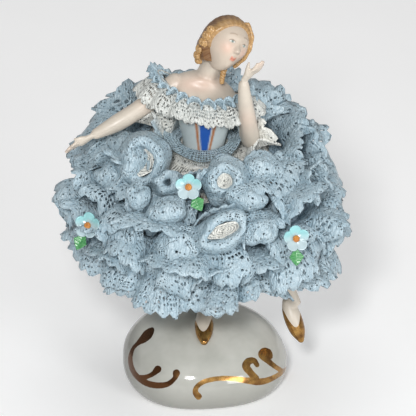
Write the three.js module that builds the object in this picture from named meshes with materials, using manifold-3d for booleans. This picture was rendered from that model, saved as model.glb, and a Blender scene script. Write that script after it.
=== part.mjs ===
// A porcelain dancer in a frilled lace skirt, standing on a rounded mound.
// Millimetres, +Z up. The dancer faces -Y. The origin is the centre of the mound's flat underside.

import * as THREE from 'three';
import { ParametricGeometry } from 'three/addons/geometries/ParametricGeometry.js';
import { mergeVertices } from 'three/addons/utils/BufferGeometryUtils.js';
import Module from 'manifold-3d';

// Mound
const MOUND_WIDTH = 63;
const MOUND_DEPTH = 60;
const MOUND_HEIGHT = 27;
const MOUND_GIRDLE_HEIGHT = 8.7;
const MOUND_TUCK = 5;

// Dancer, from the sole of the standing foot to the crown
const BODY_HEIGHT = 126;

// Underskirt: its widest ring, and how far the waist is above and the hem's circle below that ring
const UNDERSKIRT_WIDTH = 82;
const UNDERSKIRT_DEPTH = 78;
const UNDERSKIRT_RISE = 24.5;
const UNDERSKIRT_DROP = 24.5;
const UNDERSKIRT_WALL = 2.2;

// Skirt frills
const FRILL_WIDTH = 16;
const FRILL_WAVE = 4.4;
const LACE_THICKNESS = 1.3;

// Trimmings of the bodice
const PEPLUM_WIDTH = 8;
const PEPLUM_WAVE = 1.7;
const BERTHA_WIDTH = 7;
const BERTHA_WAVE = 1.8;
const NECKLINE_WIDTH = 5;
const NECKLINE_WAVE = 1.3;

// Blossoms
const BLOSSOM_DIAMETER = 10;
const BLOSSOM_THICKNESS = 2.4;
const CENTRE_DIAMETER = 2.6;
// How far the petals stand out over the crests of the frill that they are pressed on
const BLOSSOM_LIFT = 1.2;
const LEAF_LENGTH = 7;
const LEAF_WIDTH = 4.2;
const LEAF_THICKNESS = 1.4;
// How far the leaf's root reaches under the petals
const LEAF_TUCK = 1.8;

// Space kept between pieces that touch
const CONTACT_GAP = 0.3;

const TURN = 2 * Math.PI;
const radians = THREE.MathUtils.degToRad;
const mix = THREE.MathUtils.lerp;
const vector = (x, y, z) => new THREE.Vector3(x, y, z);

const wasm = await Module();
wasm.setup();

// Solids

// Vertices closer than this are one vertex.
const WELD = 1e-4;

function signedVolume(position, index) {
  const [a, b, c] = [vector(0, 0, 0), vector(0, 0, 0), vector(0, 0, 0)];
  let volume = 0;
  for (let i = 0; i < index.length; i += 3) {
    a.fromBufferAttribute(position, index[i]);
    b.fromBufferAttribute(position, index[i + 1]);
    c.fromBufferAttribute(position, index[i + 2]);
    volume += a.dot(b.cross(c)) / 6;
  }
  return volume;
}

// Welds a closed geometry, drops its empty triangles and turns its faces outwards.
function solidFrom(source) {
  source.deleteAttribute('normal');
  source.deleteAttribute('uv');
  const welded = mergeVertices(source, WELD);
  const position = welded.getAttribute('position');
  const all = welded.getIndex().array;
  const kept = [];
  for (let i = 0; i < all.length; i += 3) {
    const [a, b, c] = [all[i], all[i + 1], all[i + 2]];
    if (a !== b && b !== c && c !== a) kept.push(a, b, c);
  }
  if (signedVolume(position, kept) < 0) kept.reverse();
  return new wasm.Manifold(new wasm.Mesh({
    numProp: 3,
    vertProperties: new Float32Array(position.array),
    triVerts: new Uint32Array(kept),
  }));
}

// A closed surface: point(u, v) is periodic in u, and in v it runs from pole to pole or round a section.
function surfaceSolid(point, slices, stacks) {
  const place = (u, v, target) => {
    const wrapped = u > 1 - WELD ? 0 : u;
    target.copy(point(wrapped, v));
  };
  return solidFrom(new ParametricGeometry(place, slices, stacks));
}

function union(solids) {
  return solids.reduce((sum, solid) => sum.add(solid));
}

// The largest connected part of a solid, without the crumbs that a cut leaves.
function mainBody(solid) {
  const parts = solid.decompose();
  return parts.reduce((best, part) => (part.volume() > best.volume() ? part : best));
}

function ellipsoid(centre, radii, sides, rows, turn = new THREE.Quaternion()) {
  const source = new THREE.SphereGeometry(1, sides, rows);
  source.scale(radii.x, radii.y, radii.z);
  source.applyQuaternion(turn);
  source.translate(centre.x, centre.y, centre.z);
  return solidFrom(source);
}

// A limb: rings of [centre, radius] joined along a line, with rounded ends. grow adds to every radius.
function limb(rings, sides, grow = 0, flatness = 1) {
  const path = rings.map(([centre]) => centre);
  const steps = path.slice(1).map((point, row) => point.clone().sub(path[row]).normalize());
  const first = steps[0];
  const last = steps.at(-1);
  const upright = steps.reduce((sum, step) => sum + Math.abs(step.z), 0) > 0.6 * steps.length;
  const side = upright ? vector(1, 0, 0) : vector(0, 0, 1);
  const ends = [
    path[0].clone().addScaledVector(first, -(rings[0][1] + grow) * 0.6),
    path.at(-1).clone().addScaledVector(last, (rings.at(-1)[1] + grow) * 0.6),
  ];
  const stacks = rings.length + 1;
  return surfaceSolid((u, v) => {
    const k = Math.round(v * stacks);
    if (k === 0) return ends[0];
    if (k === stacks) return ends[1];
    const [centre, radius] = rings[k - 1];
    const before = path[Math.max(k - 2, 0)];
    const after = path[Math.min(k, path.length - 1)];
    const along = after.clone().sub(before).normalize();
    const across = side.clone().cross(along).normalize();
    const up = along.clone().cross(across);
    const reach = radius + grow;
    return centre.clone()
      .addScaledVector(across, reach * Math.cos(TURN * u))
      .addScaledVector(up, reach * flatness * Math.sin(TURN * u));
  }, sides, stacks);
}

// Mound

// Half the mound's width in a direction, with the soft corners of a pebble.
function moundOutline(angle) {
  const halfWidth = MOUND_WIDTH / 2;
  const halfDepth = MOUND_DEPTH / 2;
  const oval = 1 / Math.hypot(Math.cos(angle) / halfWidth, Math.sin(angle) / halfDepth);
  const pebble = 1 + 0.018 * Math.cos(3 * angle + 0.4) - 0.012 * Math.cos(5 * angle + 1.1);
  return oval * pebble;
}

// Height of the mound's upper face, which falls towards the front.
function moundTop(x, y) {
  const share = Math.min(Math.hypot(x, y) / moundOutline(Math.atan2(y, x)), 1);
  const dome = Math.sqrt(1 - share ** 3);
  const slope = 1 + 0.2 * (y / (MOUND_DEPTH / 2));
  return MOUND_GIRDLE_HEIGHT + (MOUND_HEIGHT - MOUND_GIRDLE_HEIGHT) * dome * slope;
}

function buildMound() {
  const stacks = 9;
  const tuckRows = 3;
  return surfaceSolid((u, v) => {
    const angle = TURN * u;
    const k = Math.round(v * stacks);
    const reach = moundOutline(angle);
    const direction = vector(Math.cos(angle), Math.sin(angle), 0);
    if (k === 0) return vector(0, 0, 0);
    if (k <= tuckRows) {
      const lift = (k - 1) / (tuckRows - 1);
      const bulge = 1 - (MOUND_TUCK / reach) * (1 - Math.sin(lift * Math.PI / 2));
      return direction.multiplyScalar(reach * bulge * (k === tuckRows ? 1 : 0.995))
        .setZ(MOUND_GIRDLE_HEIGHT * (1 - Math.cos(lift * Math.PI / 2)));
    }
    const climb = (k - tuckRows) / (stacks - tuckRows);
    const share = Math.cos(climb * Math.PI / 2);
    const point = direction.multiplyScalar(reach * share);
    return point.setZ(moundTop(point.x, point.y));
  }, 26, stacks);
}

// Dancer

// The standing foot is on the middle of the mound. Places on the body are in percent of its height.
const percent = BODY_HEIGHT / 100;
const stand = vector(0, 0, moundTop(0, 0));
const body = (x, y, z) => vector(x, y, z).multiplyScalar(percent).add(stand);
const joint = ([x, y, z, radius]) => [body(x, y, z), radius * percent];

// Torso rings: x, y, z, half width, half depth, and how far the ring's right end is lowered.
const TORSO = [
  [0, 0.8, 45.2, 10.0, 7.9, 0],
  [0, 0.6, 51.6, 8.0, 6.6, 0],
  [0, 0.3, 57.1, 6.3, 5.3, 0],
  [0.1, 0, 63.5, 7.5, 6.1, 0.06],
  [0.2, -1.0, 69.8, 8.9, 7.4, 0.13],
  [0.3, -0.2, 74.2, 9.7, 6.0, 0.22],
  [0.1, 0.8, 77.2, 8.6, 4.5, 0.26],
  [0.2, 1.0, 79.6, 4.6, 3.8, 0.2],
];
const WAIST_RING = 2;
const NECK = [[0.2, 1.2, 76.5, 3.9], [1.2, 1.3, 80.0, 3.5], [3.0, 0.9, 83.6, 3.5], [5.0, 0.4, 87.5, 3.4]];
const RIGHT_ARM = [
  [-8.6, 0.9, 77.0, 3.4], [-14.8, -1.4, 73.4, 3.2], [-19.8, -3.8, 70.4, 2.8],
  [-26.2, -6.2, 67.1, 2.7], [-32.5, -7.9, 64.3, 1.7],
];
const LEFT_ARM = [
  [9.2, 0.9, 71.2, 3.1], [12.4, -1.6, 66.0, 3.1], [13.9, -5.0, 61.0, 2.8],
  [13.2, -7.4, 68.0, 2.6], [12.2, -9.2, 76.0, 2.2], [11.8, -10.0, 81.7, 1.6],
];
const RIGHT_LEG = [
  [-3.8, 0.8, 46.8, 5.6], [-3.0, 0.0, 35.0, 4.7], [-2.0, -0.8, 24.6, 3.6], [-1.3, 1.0, 15.1, 3.4],
  [-0.2, 1.6, 5.2, 1.9], [0, 1.6, 2.2, 1.9],
];
const LEFT_LEG = [
  [4.2, 0.8, 46.8, 5.6], [10.2, -1.6, 37.4, 4.6], [15.4, -3.2, 29.2, 3.6], [20.2, -2.8, 21.4, 3.2],
  [26.2, -3.2, 10.4, 1.6], [27.6, -3.5, 6.4, 1.9],
];

const headCentre = body(6.8, -0.8, 90.8);
const HEAD_RADII = [6.7, 7.2, 8.2].map((share) => share * percent);
const headTurn = new THREE.Quaternion()
  .multiply(new THREE.Quaternion().setFromAxisAngle(vector(0, 1, 0), radians(18)))
  .multiply(new THREE.Quaternion().setFromAxisAngle(vector(0, 0, 1), radians(20)))
  .multiply(new THREE.Quaternion().setFromAxisAngle(vector(1, 0, 0), radians(-12)));
// A place on the head: x to the dancer's left, y to the back, z to the crown, in shares of the skull.
function onHead(x, y, z) {
  const [across, deep, high] = HEAD_RADII;
  return vector(x * across, y * deep, z * high).applyQuaternion(headTurn).add(headCentre);
}

function torso(grow) {
  const stacks = TORSO.length + 1;
  const ringPoint = (row, angle) => {
    const [x, y, z, halfWidth, halfDepth, fall] = TORSO[row];
    const across = (halfWidth * percent + grow) * Math.cos(angle);
    const deep = (halfDepth * percent + grow) * Math.sin(angle);
    return body(x, y, z).add(vector(across, deep, -fall * across));
  };
  return surfaceSolid((u, v) => {
    const k = Math.round(v * stacks);
    if (k === 0) return body(0, 0.8, 42).add(vector(0, 0, -grow));
    if (k === stacks) return body(0.4, 1.1, 80.6).add(vector(0, 0, grow));
    return ringPoint(k - 1, TURN * u);
  }, 16, stacks);
}

// Face relief: how far the skull's surface stands out at a place on it.
function faceRelief(x, y, z) {
  const dot = (cx, cz, width, height) => Math.exp(-(((x - cx) / width) ** 2) - (((z - cz) / height) ** 2));
  const front = THREE.MathUtils.smoothstep(-y, 0.2, 0.8);
  const brow = 0.03 * dot(0, 0.3, 0.7, 0.15);
  const sockets = -0.05 * (dot(-0.36, 0.06, 0.22, 0.14) + dot(0.36, 0.06, 0.22, 0.14));
  const nose = 0.17 * dot(0, -0.2, 0.13, 0.2);
  const lips = 0.05 * dot(0, -0.52, 0.25, 0.1);
  const chin = 0.06 * dot(0, -0.85, 0.3, 0.16);
  return 1 + front * (brow + sockets + nose + lips + chin);
}

function skull(grow) {
  return surfaceSolid((u, v) => {
    const angle = TURN * u;
    const climb = Math.PI * (v - 0.5);
    const [x, y, z] = [
      Math.cos(climb) * Math.cos(angle), Math.cos(climb) * Math.sin(angle), Math.sin(climb),
    ];
    const jaw = 1 - 0.22 * THREE.MathUtils.smoothstep(-z, 0.1, 1);
    const relief = faceRelief(x, y, z) + grow / HEAD_RADII[0];
    return onHead(x * jaw * relief, y * relief, z * relief);
  }, 14, 9);
}

// Hair: a cap of waves combed back from the face, thick over the ears.
function hairCap(grow) {
  const hairline = 0.34;
  return surfaceSolid((u, v) => {
    const angle = TURN * u;
    const climb = Math.PI * (v - 0.5);
    const [x, y, z] = [
      Math.cos(climb) * Math.cos(angle), Math.cos(climb) * Math.sin(angle), Math.sin(climb),
    ];
    const wave = 1 + 0.045 * Math.cos(9 * angle + 4 * climb);
    const sides = 1 + 0.12 * Math.abs(x) ** 2 * (1 - Math.abs(z));
    const size = 1.12 * wave * sides + grow / HEAD_RADII[0];
    // The front of the cap is pushed back, so that the face stays bare under the hairline.
    const bare = y < 0 ? 1 - 0.75 * THREE.MathUtils.smoothstep(hairline - z, 0, 0.45) : 1;
    const low = z < -0.4 ? 0.9 : 1;
    return onHead(x * size * low, y * size * bare + 0.06, Math.max(z * size, -0.62) + 0.06);
  }, 13, 7);
}

function curls(grow) {
  const side = [[-1.12, 0.05, 0.2], [-1.16, 0.1, -0.15], [-1.08, 0.1, -0.5], [1.12, 0.15, -0.2]];
  const curlSize = 0.25 * HEAD_RADII[0] + grow;
  const lobes = side.map(([x, y, z]) => ellipsoid(
    onHead(x, y, z), vector(curlSize, curlSize * 1.25, curlSize), 6, 4, headTurn,
  ));
  const ringlet = [body(6.3, -1.5, 83.6), body(7.2, -3.2, 80.4), body(6.7, -4.4, 77.2)]
    .map((centre, row) => [centre, (1.25 - 0.3 * row) * percent]);
  return union([...lobes, limb(ringlet, 5, grow)]);
}

// A hand: a flat palm and five tapering fingers, fanned round the direction that the hand points in.
function hand(wrist, knuckles, tips, fan, thumbSide, grow) {
  const palm = limb([[wrist, 1.5 * percent], [knuckles, 2.2 * percent]], 7, grow, 0.55);
  const reach = tips.clone().sub(knuckles);
  const fingerRadius = 0.68 * percent;
  const fingers = [-0.42, -0.14, 0.14, 0.42].map((share, row) => {
    const root = knuckles.clone().addScaledVector(fan, share * 3.9 * percent);
    const spread = fan.clone().multiplyScalar(share * 2.2 * percent);
    const tip = root.clone().addScaledVector(reach, [0.8, 1, 1, 0.75][row]).add(spread);
    return limb([[root, fingerRadius], [tip, fingerRadius * 0.7]], 4, grow);
  });
  const thumbRoot = wrist.clone().lerp(knuckles, 0.35).addScaledVector(fan, thumbSide * 1.5 * percent);
  const thumbTip = knuckles.clone().addScaledVector(fan, thumbSide * 3.3 * percent)
    .addScaledVector(reach, 0.15);
  fingers.push(limb([[thumbRoot, fingerRadius * 1.1], [thumbTip, fingerRadius * 0.75]], 4, grow));
  return union([palm, ...fingers]);
}

// The slipper of the standing foot follows the top of the mound.
function standingFoot(grow) {
  const rows = [[2.6, 1.7, 1.9], [-1.2, 2.2, 2.2], [-6.4, 2.8, 1.7], [-10.8, 2.3, 1.2], [-13.4, 1.2, 0.8]];
  const rings = rows.map(([back, halfWidth, halfHeight]) => {
    const y = stand.y + back * percent;
    const z = moundTop(stand.x, y) + halfHeight * percent * 0.85;
    return [vector(stand.x, y, z), halfWidth * percent];
  });
  return limb(rings, 10, grow, 0.72);
}

function hangingFoot(grow) {
  const rows = [
    [25.6, -2.8, 6.5, 1.5], [26.6, -3.0, 4.2, 2.3], [27.8, -4.0, 1.0, 2.6], [29.2, -5.0, -2.4, 2.1],
    [29.9, -5.8, -4.9, 0.9],
  ];
  return limb(rows.map(joint), 10, grow, 0.85);
}

function buildDancer(grow = 0) {
  const wristRight = body(-33.6, -8.2, 63.8);
  const wristLeft = body(11.9, -10.2, 83.0);
  return union([
    torso(grow),
    limb(NECK.map(joint), 10, grow),
    skull(grow),
    hairCap(grow),
    curls(grow),
    limb(RIGHT_ARM.map(joint), 7, grow),
    hand(wristRight, body(-36.6, -8.8, 62.2), body(-41.2, -9.4, 59.4), vector(0.5, 0.1, 0.86), 1, grow),
    limb(LEFT_ARM.map(joint), 7, grow),
    hand(wristLeft, body(13.4, -10.4, 85.8), body(17.4, -10.8, 89.6), vector(-0.7, -0.1, 0.7), 1, grow),
    limb(RIGHT_LEG.map(joint), 7, grow),
    standingFoot(grow),
    limb(LEFT_LEG.map(joint), 7, grow),
    hangingFoot(grow),
  ]);
}

// Lace

// A frill: a gathered strip of lace. rootAt(angle) gives the middle of its gathered edge, bladeAt(angle,
// share) the way from there to the middle line at a share of its width, and waveAt the fold's direction.
// The folds are unevenly spaced and unevenly high, as gathered by hand, and open towards the free edge.
// Four columns make one fold.
function frill({ folds, rows, width, wave, thickness, drift, rootAt, bladeAt, waveAt }) {
  const sectionPoints = 2 * (rows + 1);
  const opening = 1.2;
  const lowest = 0.56;
  return surfaceSolid((u, v) => {
    const phase = TURN * folds * u + drift;
    const crowding = 0.88 * Math.sin(2 * TURN * u + drift) + 0.52 * Math.sin(3 * TURN * u + 2 * drift);
    const angle = TURN * u + crowding / folds;
    const k = Math.round(v * sectionPoints) % sectionPoints;
    const outer = k <= rows;
    const share = (outer ? k : sectionPoints - 1 - k) / rows;
    const height = wave * mix(lowest, 1, 0.5 + 0.5 * Math.sin(3 * angle + drift));
    const fold = height * share ** opening * Math.sin(phase);
    const skin = (outer ? 0.5 : -0.5) * thickness;
    return rootAt(angle)
      .add(bladeAt(angle, share).multiplyScalar(width))
      .addScaledVector(waveAt(angle), fold + skin);
  }, 4 * folds, sectionPoints);
}

// The underskirt's outer face. fall is the angle from the waist down over the hips to the hem. The
// skirt leans forward, lies further back than the waist, and has flat shoulders and a round hem.
const waist = body(...TORSO[WAIST_RING]);
const SKIRT_LEAN = Math.tan(radians(16));
const SKIRT_SETBACK = 2.5;
const HEM_FALL = radians(130);
const SHOULDER_FLATNESS = 0.86;
const HEM_ROUNDNESS = 0.5;
const skirtCentre = waist.clone().add(vector(0, SKIRT_SETBACK, -UNDERSKIRT_RISE));
function underskirtPoint(angle, fall, inset = 0) {
  const over = fall <= Math.PI / 2;
  const reach = Math.sin(fall) ** (over ? SHOULDER_FLATNESS : HEM_ROUNDNESS);
  const drop = over ? UNDERSKIRT_RISE * Math.cos(fall) : UNDERSKIRT_DROP * Math.cos(fall);
  const across = (UNDERSKIRT_WIDTH / 2 - inset) * reach * Math.cos(angle);
  const deep = (UNDERSKIRT_DEPTH / 2 - inset) * reach * Math.sin(angle);
  const hem = UNDERSKIRT_DROP * Math.cos(HEM_FALL);
  const lean = SKIRT_LEAN * deep * (drop - hem) / (UNDERSKIRT_RISE - hem);
  const sink = over ? inset * Math.cos(fall) : 0;
  return skirtCentre.clone().add(vector(across, deep, drop + lean - sink));
}

// Unit directions on the underskirt: down it and out of it.
function underskirtFrame(angle, fall) {
  const step = 1e-3;
  const round = underskirtPoint(angle + step, fall).sub(underskirtPoint(angle - step, fall));
  const down = underskirtPoint(angle, fall + step).sub(underskirtPoint(angle, fall - step)).normalize();
  const out = down.clone().cross(round).normalize();
  return { down, out };
}

// The collar clears the waist by the contact gap.
function collarFall() {
  const collarRadius = TORSO[WAIST_RING][3] * percent + CONTACT_GAP;
  return Math.asin((collarRadius / (UNDERSKIRT_WIDTH / 2)) ** (1 / SHOULDER_FLATNESS));
}

function buildUnderskirt() {
  const outerRows = 5;
  const innerRows = 4;
  const sectionPoints = outerRows + innerRows + 2;
  const collar = collarFall();
  return surfaceSolid((u, v) => {
    const k = Math.round(v * sectionPoints) % sectionPoints;
    const outer = k <= outerRows;
    const share = outer ? k / outerRows : (sectionPoints - 1 - k) / innerRows;
    const fall = mix(collar, HEM_FALL, share);
    return underskirtPoint(TURN * u, fall, outer ? 0 : UNDERSKIRT_WALL);
  }, 26, sectionPoints);
}

// Where each row of frills is sewn on, in degrees of fall.
const FRILL_FALLS = [23, 38, 54, 72, 90, 108, 125];
// How far each row leans from straight out towards the hem: the top row stands up, the last one hangs.
const FRILL_LEANS = [8, 14, 24, 32, 34, 38, 44];
// In front the first row droops by this much more, and the rows below it by less and less.
const FRONT_DROOP = 46;
// In front they are also longer by this share.
const FRONT_EXTRA = 0.25;
const FRILL_FOLDS = 12;
// Each row's folds are turned against those of the row above by this much of a fold's phase.
const FRILL_DRIFT = 1;
// Each frill curls over by this much from its root to its free edge.
const FRILL_CURL = radians(26);

function skirtFrill(row) {
  const fall = radians(FRILL_FALLS[row]);
  const rowShare = (1 - row / FRILL_LEANS.length) ** 1.5;
  const frontness = (angle) => Math.max(-Math.sin(angle), 0) ** 2 * rowShare;
  const leanAt = (angle) => radians(FRILL_LEANS[row] + FRONT_DROOP * frontness(angle));
  const bladeAt = (angle, share) => {
    const { down, out } = underskirtFrame(angle, fall);
    const bend = leanAt(angle) + FRILL_CURL * (share - 1) / 2;
    const reach = share * (1 + FRONT_EXTRA * frontness(angle));
    return out.multiplyScalar(Math.cos(bend) * reach).addScaledVector(down, Math.sin(bend) * reach);
  };
  const waveAt = (angle) => {
    const { down, out } = underskirtFrame(angle, fall);
    const lean = leanAt(angle);
    return out.multiplyScalar(Math.sin(lean)).addScaledVector(down, -Math.cos(lean));
  };
  const rootAt = (angle) => {
    const { out } = underskirtFrame(angle, fall);
    return underskirtPoint(angle, fall).addScaledVector(out, CONTACT_GAP + LACE_THICKNESS / 2);
  };
  return {
    folds: FRILL_FOLDS, rows: 2, width: FRILL_WIDTH, wave: FRILL_WAVE, thickness: LACE_THICKNESS,
    drift: FRILL_DRIFT * row, rootAt, bladeAt, waveAt,
  };
}

// A frill round the bodice: an oval at the root, lowered in front by dip and towards the dancer's left
// by slope. It opens outwards and rises or falls, and it is wider over the raised arm by the share
// sleeve. The oval's place and size are in percent of the body's height.
function bodiceFrill(shape) {
  const { centre, halfWidth, halfDepth, slope, dip, spread, rise, overArm, sleeve, width, wave, folds } = shape;
  const middle = body(...centre);
  const overRightArm = (angle) => Math.max(-Math.cos(angle), 0) ** 2;
  const steepness = (angle) => mix(rise, overArm, overRightArm(angle));
  const rootAt = (angle) => {
    const across = halfWidth * Math.cos(angle);
    const deep = halfDepth * Math.sin(angle);
    const front = Math.max(-Math.sin(angle), 0);
    const offset = vector(across, deep, -slope * across - dip * front ** 2);
    return offset.multiplyScalar(percent).add(middle);
  };
  const bladeAt = (angle, share) => vector(
    spread * Math.cos(angle), spread * Math.sin(angle), steepness(angle) * (0.7 + 0.3 * share),
  ).multiplyScalar(share * (1 + sleeve * overRightArm(angle)));
  const waveAt = (angle) => vector(
    -steepness(angle) * Math.cos(angle), -steepness(angle) * Math.sin(angle), spread,
  );
  return { folds, rows: 1, width, wave, thickness: LACE_THICKNESS, drift: 0.6, rootAt, bladeAt, waveAt };
}

const PEPLUM = {
  centre: [0, -0.1, 58.8], halfWidth: 7.3, halfDepth: 6.5, slope: 0, dip: 2.7,
  spread: 0.85, rise: 0.52, overArm: 0.52, sleeve: 0, width: PEPLUM_WIDTH, wave: PEPLUM_WAVE, folds: 12,
};
const BERTHA = {
  centre: [0, 0.2, 75.4], halfWidth: 13.65, halfDepth: 7, slope: 0.26, dip: 3.65,
  spread: 0.75, rise: -0.66, overArm: -0.5, sleeve: 0.7, width: BERTHA_WIDTH, wave: BERTHA_WAVE, folds: 11,
};
const NECKLINE = {
  centre: [-0.9, 0.2, 77], halfWidth: 11.4, halfDepth: 6.5, slope: 0.26, dip: 3.5,
  spread: 0.88, rise: 0.45, overArm: 0.45, sleeve: 0, width: NECKLINE_WIDTH, wave: NECKLINE_WAVE, folds: 11,
};

// Blossoms

// Where each blossom is pressed on: the row of frills, the angle round the skirt, the share of the width.
const BLOSSOM_SPOTS = [
  { name: 'front', row: 0, angle: -99, share: 0.9, leafTurn: -60 },
  { name: 'right_hand', row: 3, angle: -144, share: 0.67, leafTurn: -108 },
  { name: 'left_hand', row: 3, angle: -49, share: 0.62, leafTurn: -94 },
];

// A blossom faces outwards and a little up, the way the frills do in front.
function blossomFrame({ row, angle, share }) {
  const shape = skirtFrill(row);
  const upward = 0.42;
  const turn = radians(angle);
  const facing = vector(0.4 * Math.cos(turn), 0.6 * Math.sin(turn) - 0.4, upward).normalize();
  const side = vector(0, 0, 1).cross(facing).normalize();
  const up = facing.clone().cross(side);
  const centre = shape.rootAt(turn)
    .add(shape.bladeAt(turn, share).multiplyScalar(FRILL_WIDTH))
    .addScaledVector(facing, FRILL_WAVE / 2 + BLOSSOM_THICKNESS / 2 + BLOSSOM_LIFT);
  const basis = new THREE.Matrix4().makeBasis(side, up, facing);
  return { centre, turn: new THREE.Quaternion().setFromRotationMatrix(basis), out: facing };
}

// Five petals in one piece: a lobed disc, hollowed a little towards its middle.
function blossomPetals(spot, grow = 0) {
  const { centre, turn } = blossomFrame(spot);
  const petals = 5;
  const rings = [[1, -0.5], [1, 0.5], [0.45, 0.5]];
  const stacks = rings.length + 1;
  return surfaceSolid((u, v) => {
    const k = Math.round(v * stacks);
    const angle = TURN * u;
    const half = BLOSSOM_THICKNESS / 2 + grow;
    if (k === 0) return centre.clone().add(vector(0, 0, -half).applyQuaternion(turn));
    if (k === stacks) return centre.clone().add(vector(0, 0, half * 0.5).applyQuaternion(turn));
    const [share, level] = rings[k - 1];
    const lobe = 0.72 + 0.28 * Math.abs(Math.cos(petals * angle / 2));
    const reach = (BLOSSOM_DIAMETER / 2 * lobe + grow) * share;
    return vector(reach * Math.cos(angle), reach * Math.sin(angle), level * 2 * half)
      .applyQuaternion(turn).add(centre);
  }, 4 * petals, stacks);
}

function blossomCentre(spot, grow = 0) {
  const { centre, out } = blossomFrame(spot);
  const size = CENTRE_DIAMETER / 2 + grow;
  const top = centre.clone().addScaledVector(out, BLOSSOM_THICKNESS / 2);
  return ellipsoid(top, vector(size, size, size), 6, 4);
}

// The leaf lies behind the petals, with its root tucked under their rim.
function blossomLeaf(spot, grow = 0) {
  const { centre, turn, out } = blossomFrame(spot);
  const angle = radians(spot.leafTurn);
  const away = BLOSSOM_DIAMETER / 2 + LEAF_LENGTH / 2 - LEAF_TUCK;
  const behind = (BLOSSOM_THICKNESS + LEAF_THICKNESS) / 2 + CONTACT_GAP;
  const offset = vector(Math.cos(angle), Math.sin(angle), 0).multiplyScalar(away).applyQuaternion(turn);
  const tilt = new THREE.Quaternion().setFromAxisAngle(vector(0, 0, 1), angle);
  const radii = vector(LEAF_LENGTH / 2 + grow, LEAF_WIDTH / 2 + grow, LEAF_THICKNESS / 2 + grow);
  const middle = centre.clone().add(offset).addScaledVector(out, -behind);
  return ellipsoid(middle, radii, 6, 4, turn.clone().multiply(tilt));
}

// The object

const LOOKS = {
  glaze: { color: 0xe6e4dc, roughness: 0.18 },
  skin: { color: 0xe9dccb, roughness: 0.25 },
  blueLace: { color: 0x9db6c4, roughness: 0.55 },
  whiteLace: { color: 0xdcdad0, roughness: 0.6 },
  petal: { color: 0x9ed2d0, roughness: 0.3 },
  orange: { color: 0xd08a3c, roughness: 0.35 },
  leaf: { color: 0x5f9a66, roughness: 0.3 },
};

const group = new THREE.Group();

function addPiece(name, look, solid) {
  const { vertProperties, triVerts } = solid.getMesh();
  const geometry = new THREE.BufferGeometry();
  geometry.setAttribute('position', new THREE.BufferAttribute(vertProperties, 3));
  geometry.setIndex(new THREE.BufferAttribute(triVerts, 1));
  const material = new THREE.MeshStandardMaterial({ ...LOOKS[look], metalness: 0 });
  const mesh = new THREE.Mesh(geometry, material);
  mesh.name = name;
  group.add(mesh);
}

// A frill, and the space round it that its neighbours leave free.
const lace = (shape) => frill(shape);
const laceSpace = (shape) => frill({
  ...shape, width: shape.width + CONTACT_GAP, thickness: shape.thickness + 2 * CONTACT_GAP,
});

const dancerSpace = buildDancer(CONTACT_GAP);
addPiece('mound', 'glaze', buildMound().subtract(dancerSpace));
addPiece('dancer', 'skin', buildDancer());
addPiece('underskirt', 'whiteLace', mainBody(buildUnderskirt().subtract(dancerSpace)));

const [peplum, bertha, neckline] = [PEPLUM, BERTHA, NECKLINE].map(bodiceFrill);
addPiece('waist_peplum', 'blueLace', mainBody(lace(peplum).subtract(dancerSpace)));
addPiece('bertha', 'whiteLace', mainBody(lace(bertha).subtract(dancerSpace)));
addPiece('neckline_frill', 'blueLace', mainBody(lace(neckline).subtract(dancerSpace.add(laceSpace(bertha)))));

const flowerSpace = union(BLOSSOM_SPOTS.flatMap((spot) => [
  blossomPetals(spot, CONTACT_GAP), blossomLeaf(spot, CONTACT_GAP),
]));
const bodiceSpace = union([dancerSpace, flowerSpace, laceSpace(peplum), laceSpace(bertha)]);
FRILL_FALLS.forEach((fall, row) => {
  const above = row > 0 ? bodiceSpace.add(laceSpace(skirtFrill(row - 1))) : bodiceSpace;
  addPiece(`skirt_frill_${row + 1}`, 'blueLace', mainBody(lace(skirtFrill(row)).subtract(above)));
});

BLOSSOM_SPOTS.forEach((spot) => {
  const ball = blossomCentre(spot);
  addPiece(`blossom_${spot.name}`, 'petal', blossomPetals(spot).subtract(blossomCentre(spot, CONTACT_GAP)));
  addPiece(`blossom_centre_${spot.name}`, 'orange', ball);
  addPiece(`leaf_${spot.name}`, 'leaf', blossomLeaf(spot).subtract(blossomPetals(spot, CONTACT_GAP)));
});

export default group;
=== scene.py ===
import math

import bpy
import numpy as np
from mathutils import Matrix, Vector


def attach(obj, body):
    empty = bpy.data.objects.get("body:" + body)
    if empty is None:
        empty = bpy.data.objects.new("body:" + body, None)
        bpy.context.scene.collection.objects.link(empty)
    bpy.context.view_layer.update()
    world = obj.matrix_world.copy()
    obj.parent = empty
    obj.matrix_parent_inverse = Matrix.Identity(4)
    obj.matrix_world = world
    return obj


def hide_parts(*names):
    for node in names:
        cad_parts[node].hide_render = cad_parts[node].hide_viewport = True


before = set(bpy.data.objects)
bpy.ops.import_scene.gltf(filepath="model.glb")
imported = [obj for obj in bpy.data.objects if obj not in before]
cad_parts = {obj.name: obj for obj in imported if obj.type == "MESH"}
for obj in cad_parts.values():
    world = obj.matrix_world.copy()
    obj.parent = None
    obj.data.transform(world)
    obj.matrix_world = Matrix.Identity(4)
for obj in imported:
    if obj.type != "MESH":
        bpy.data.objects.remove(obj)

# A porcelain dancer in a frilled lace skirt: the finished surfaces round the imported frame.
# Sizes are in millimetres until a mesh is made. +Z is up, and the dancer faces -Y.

MM = 0.001
TURN = 2 * math.pi
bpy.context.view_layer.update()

# The photo's viewpoint, and the middle and width of what the picture shows
VIEW_ELEVATION = math.radians(25)
VIEW_DISTANCE = 2500
FRAME_WIDTH = 160
FRAME_CENTRE_ACROSS = 1.5
FRAME_CENTRE_UP = 66
SENSOR_WIDTH = 36
TO_VIEWER = np.array([0, -math.cos(VIEW_ELEVATION), math.sin(VIEW_ELEVATION)])
PICTURE_UP = np.array([0, math.sin(VIEW_ELEVATION), math.cos(VIEW_ELEVATION)])

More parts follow.
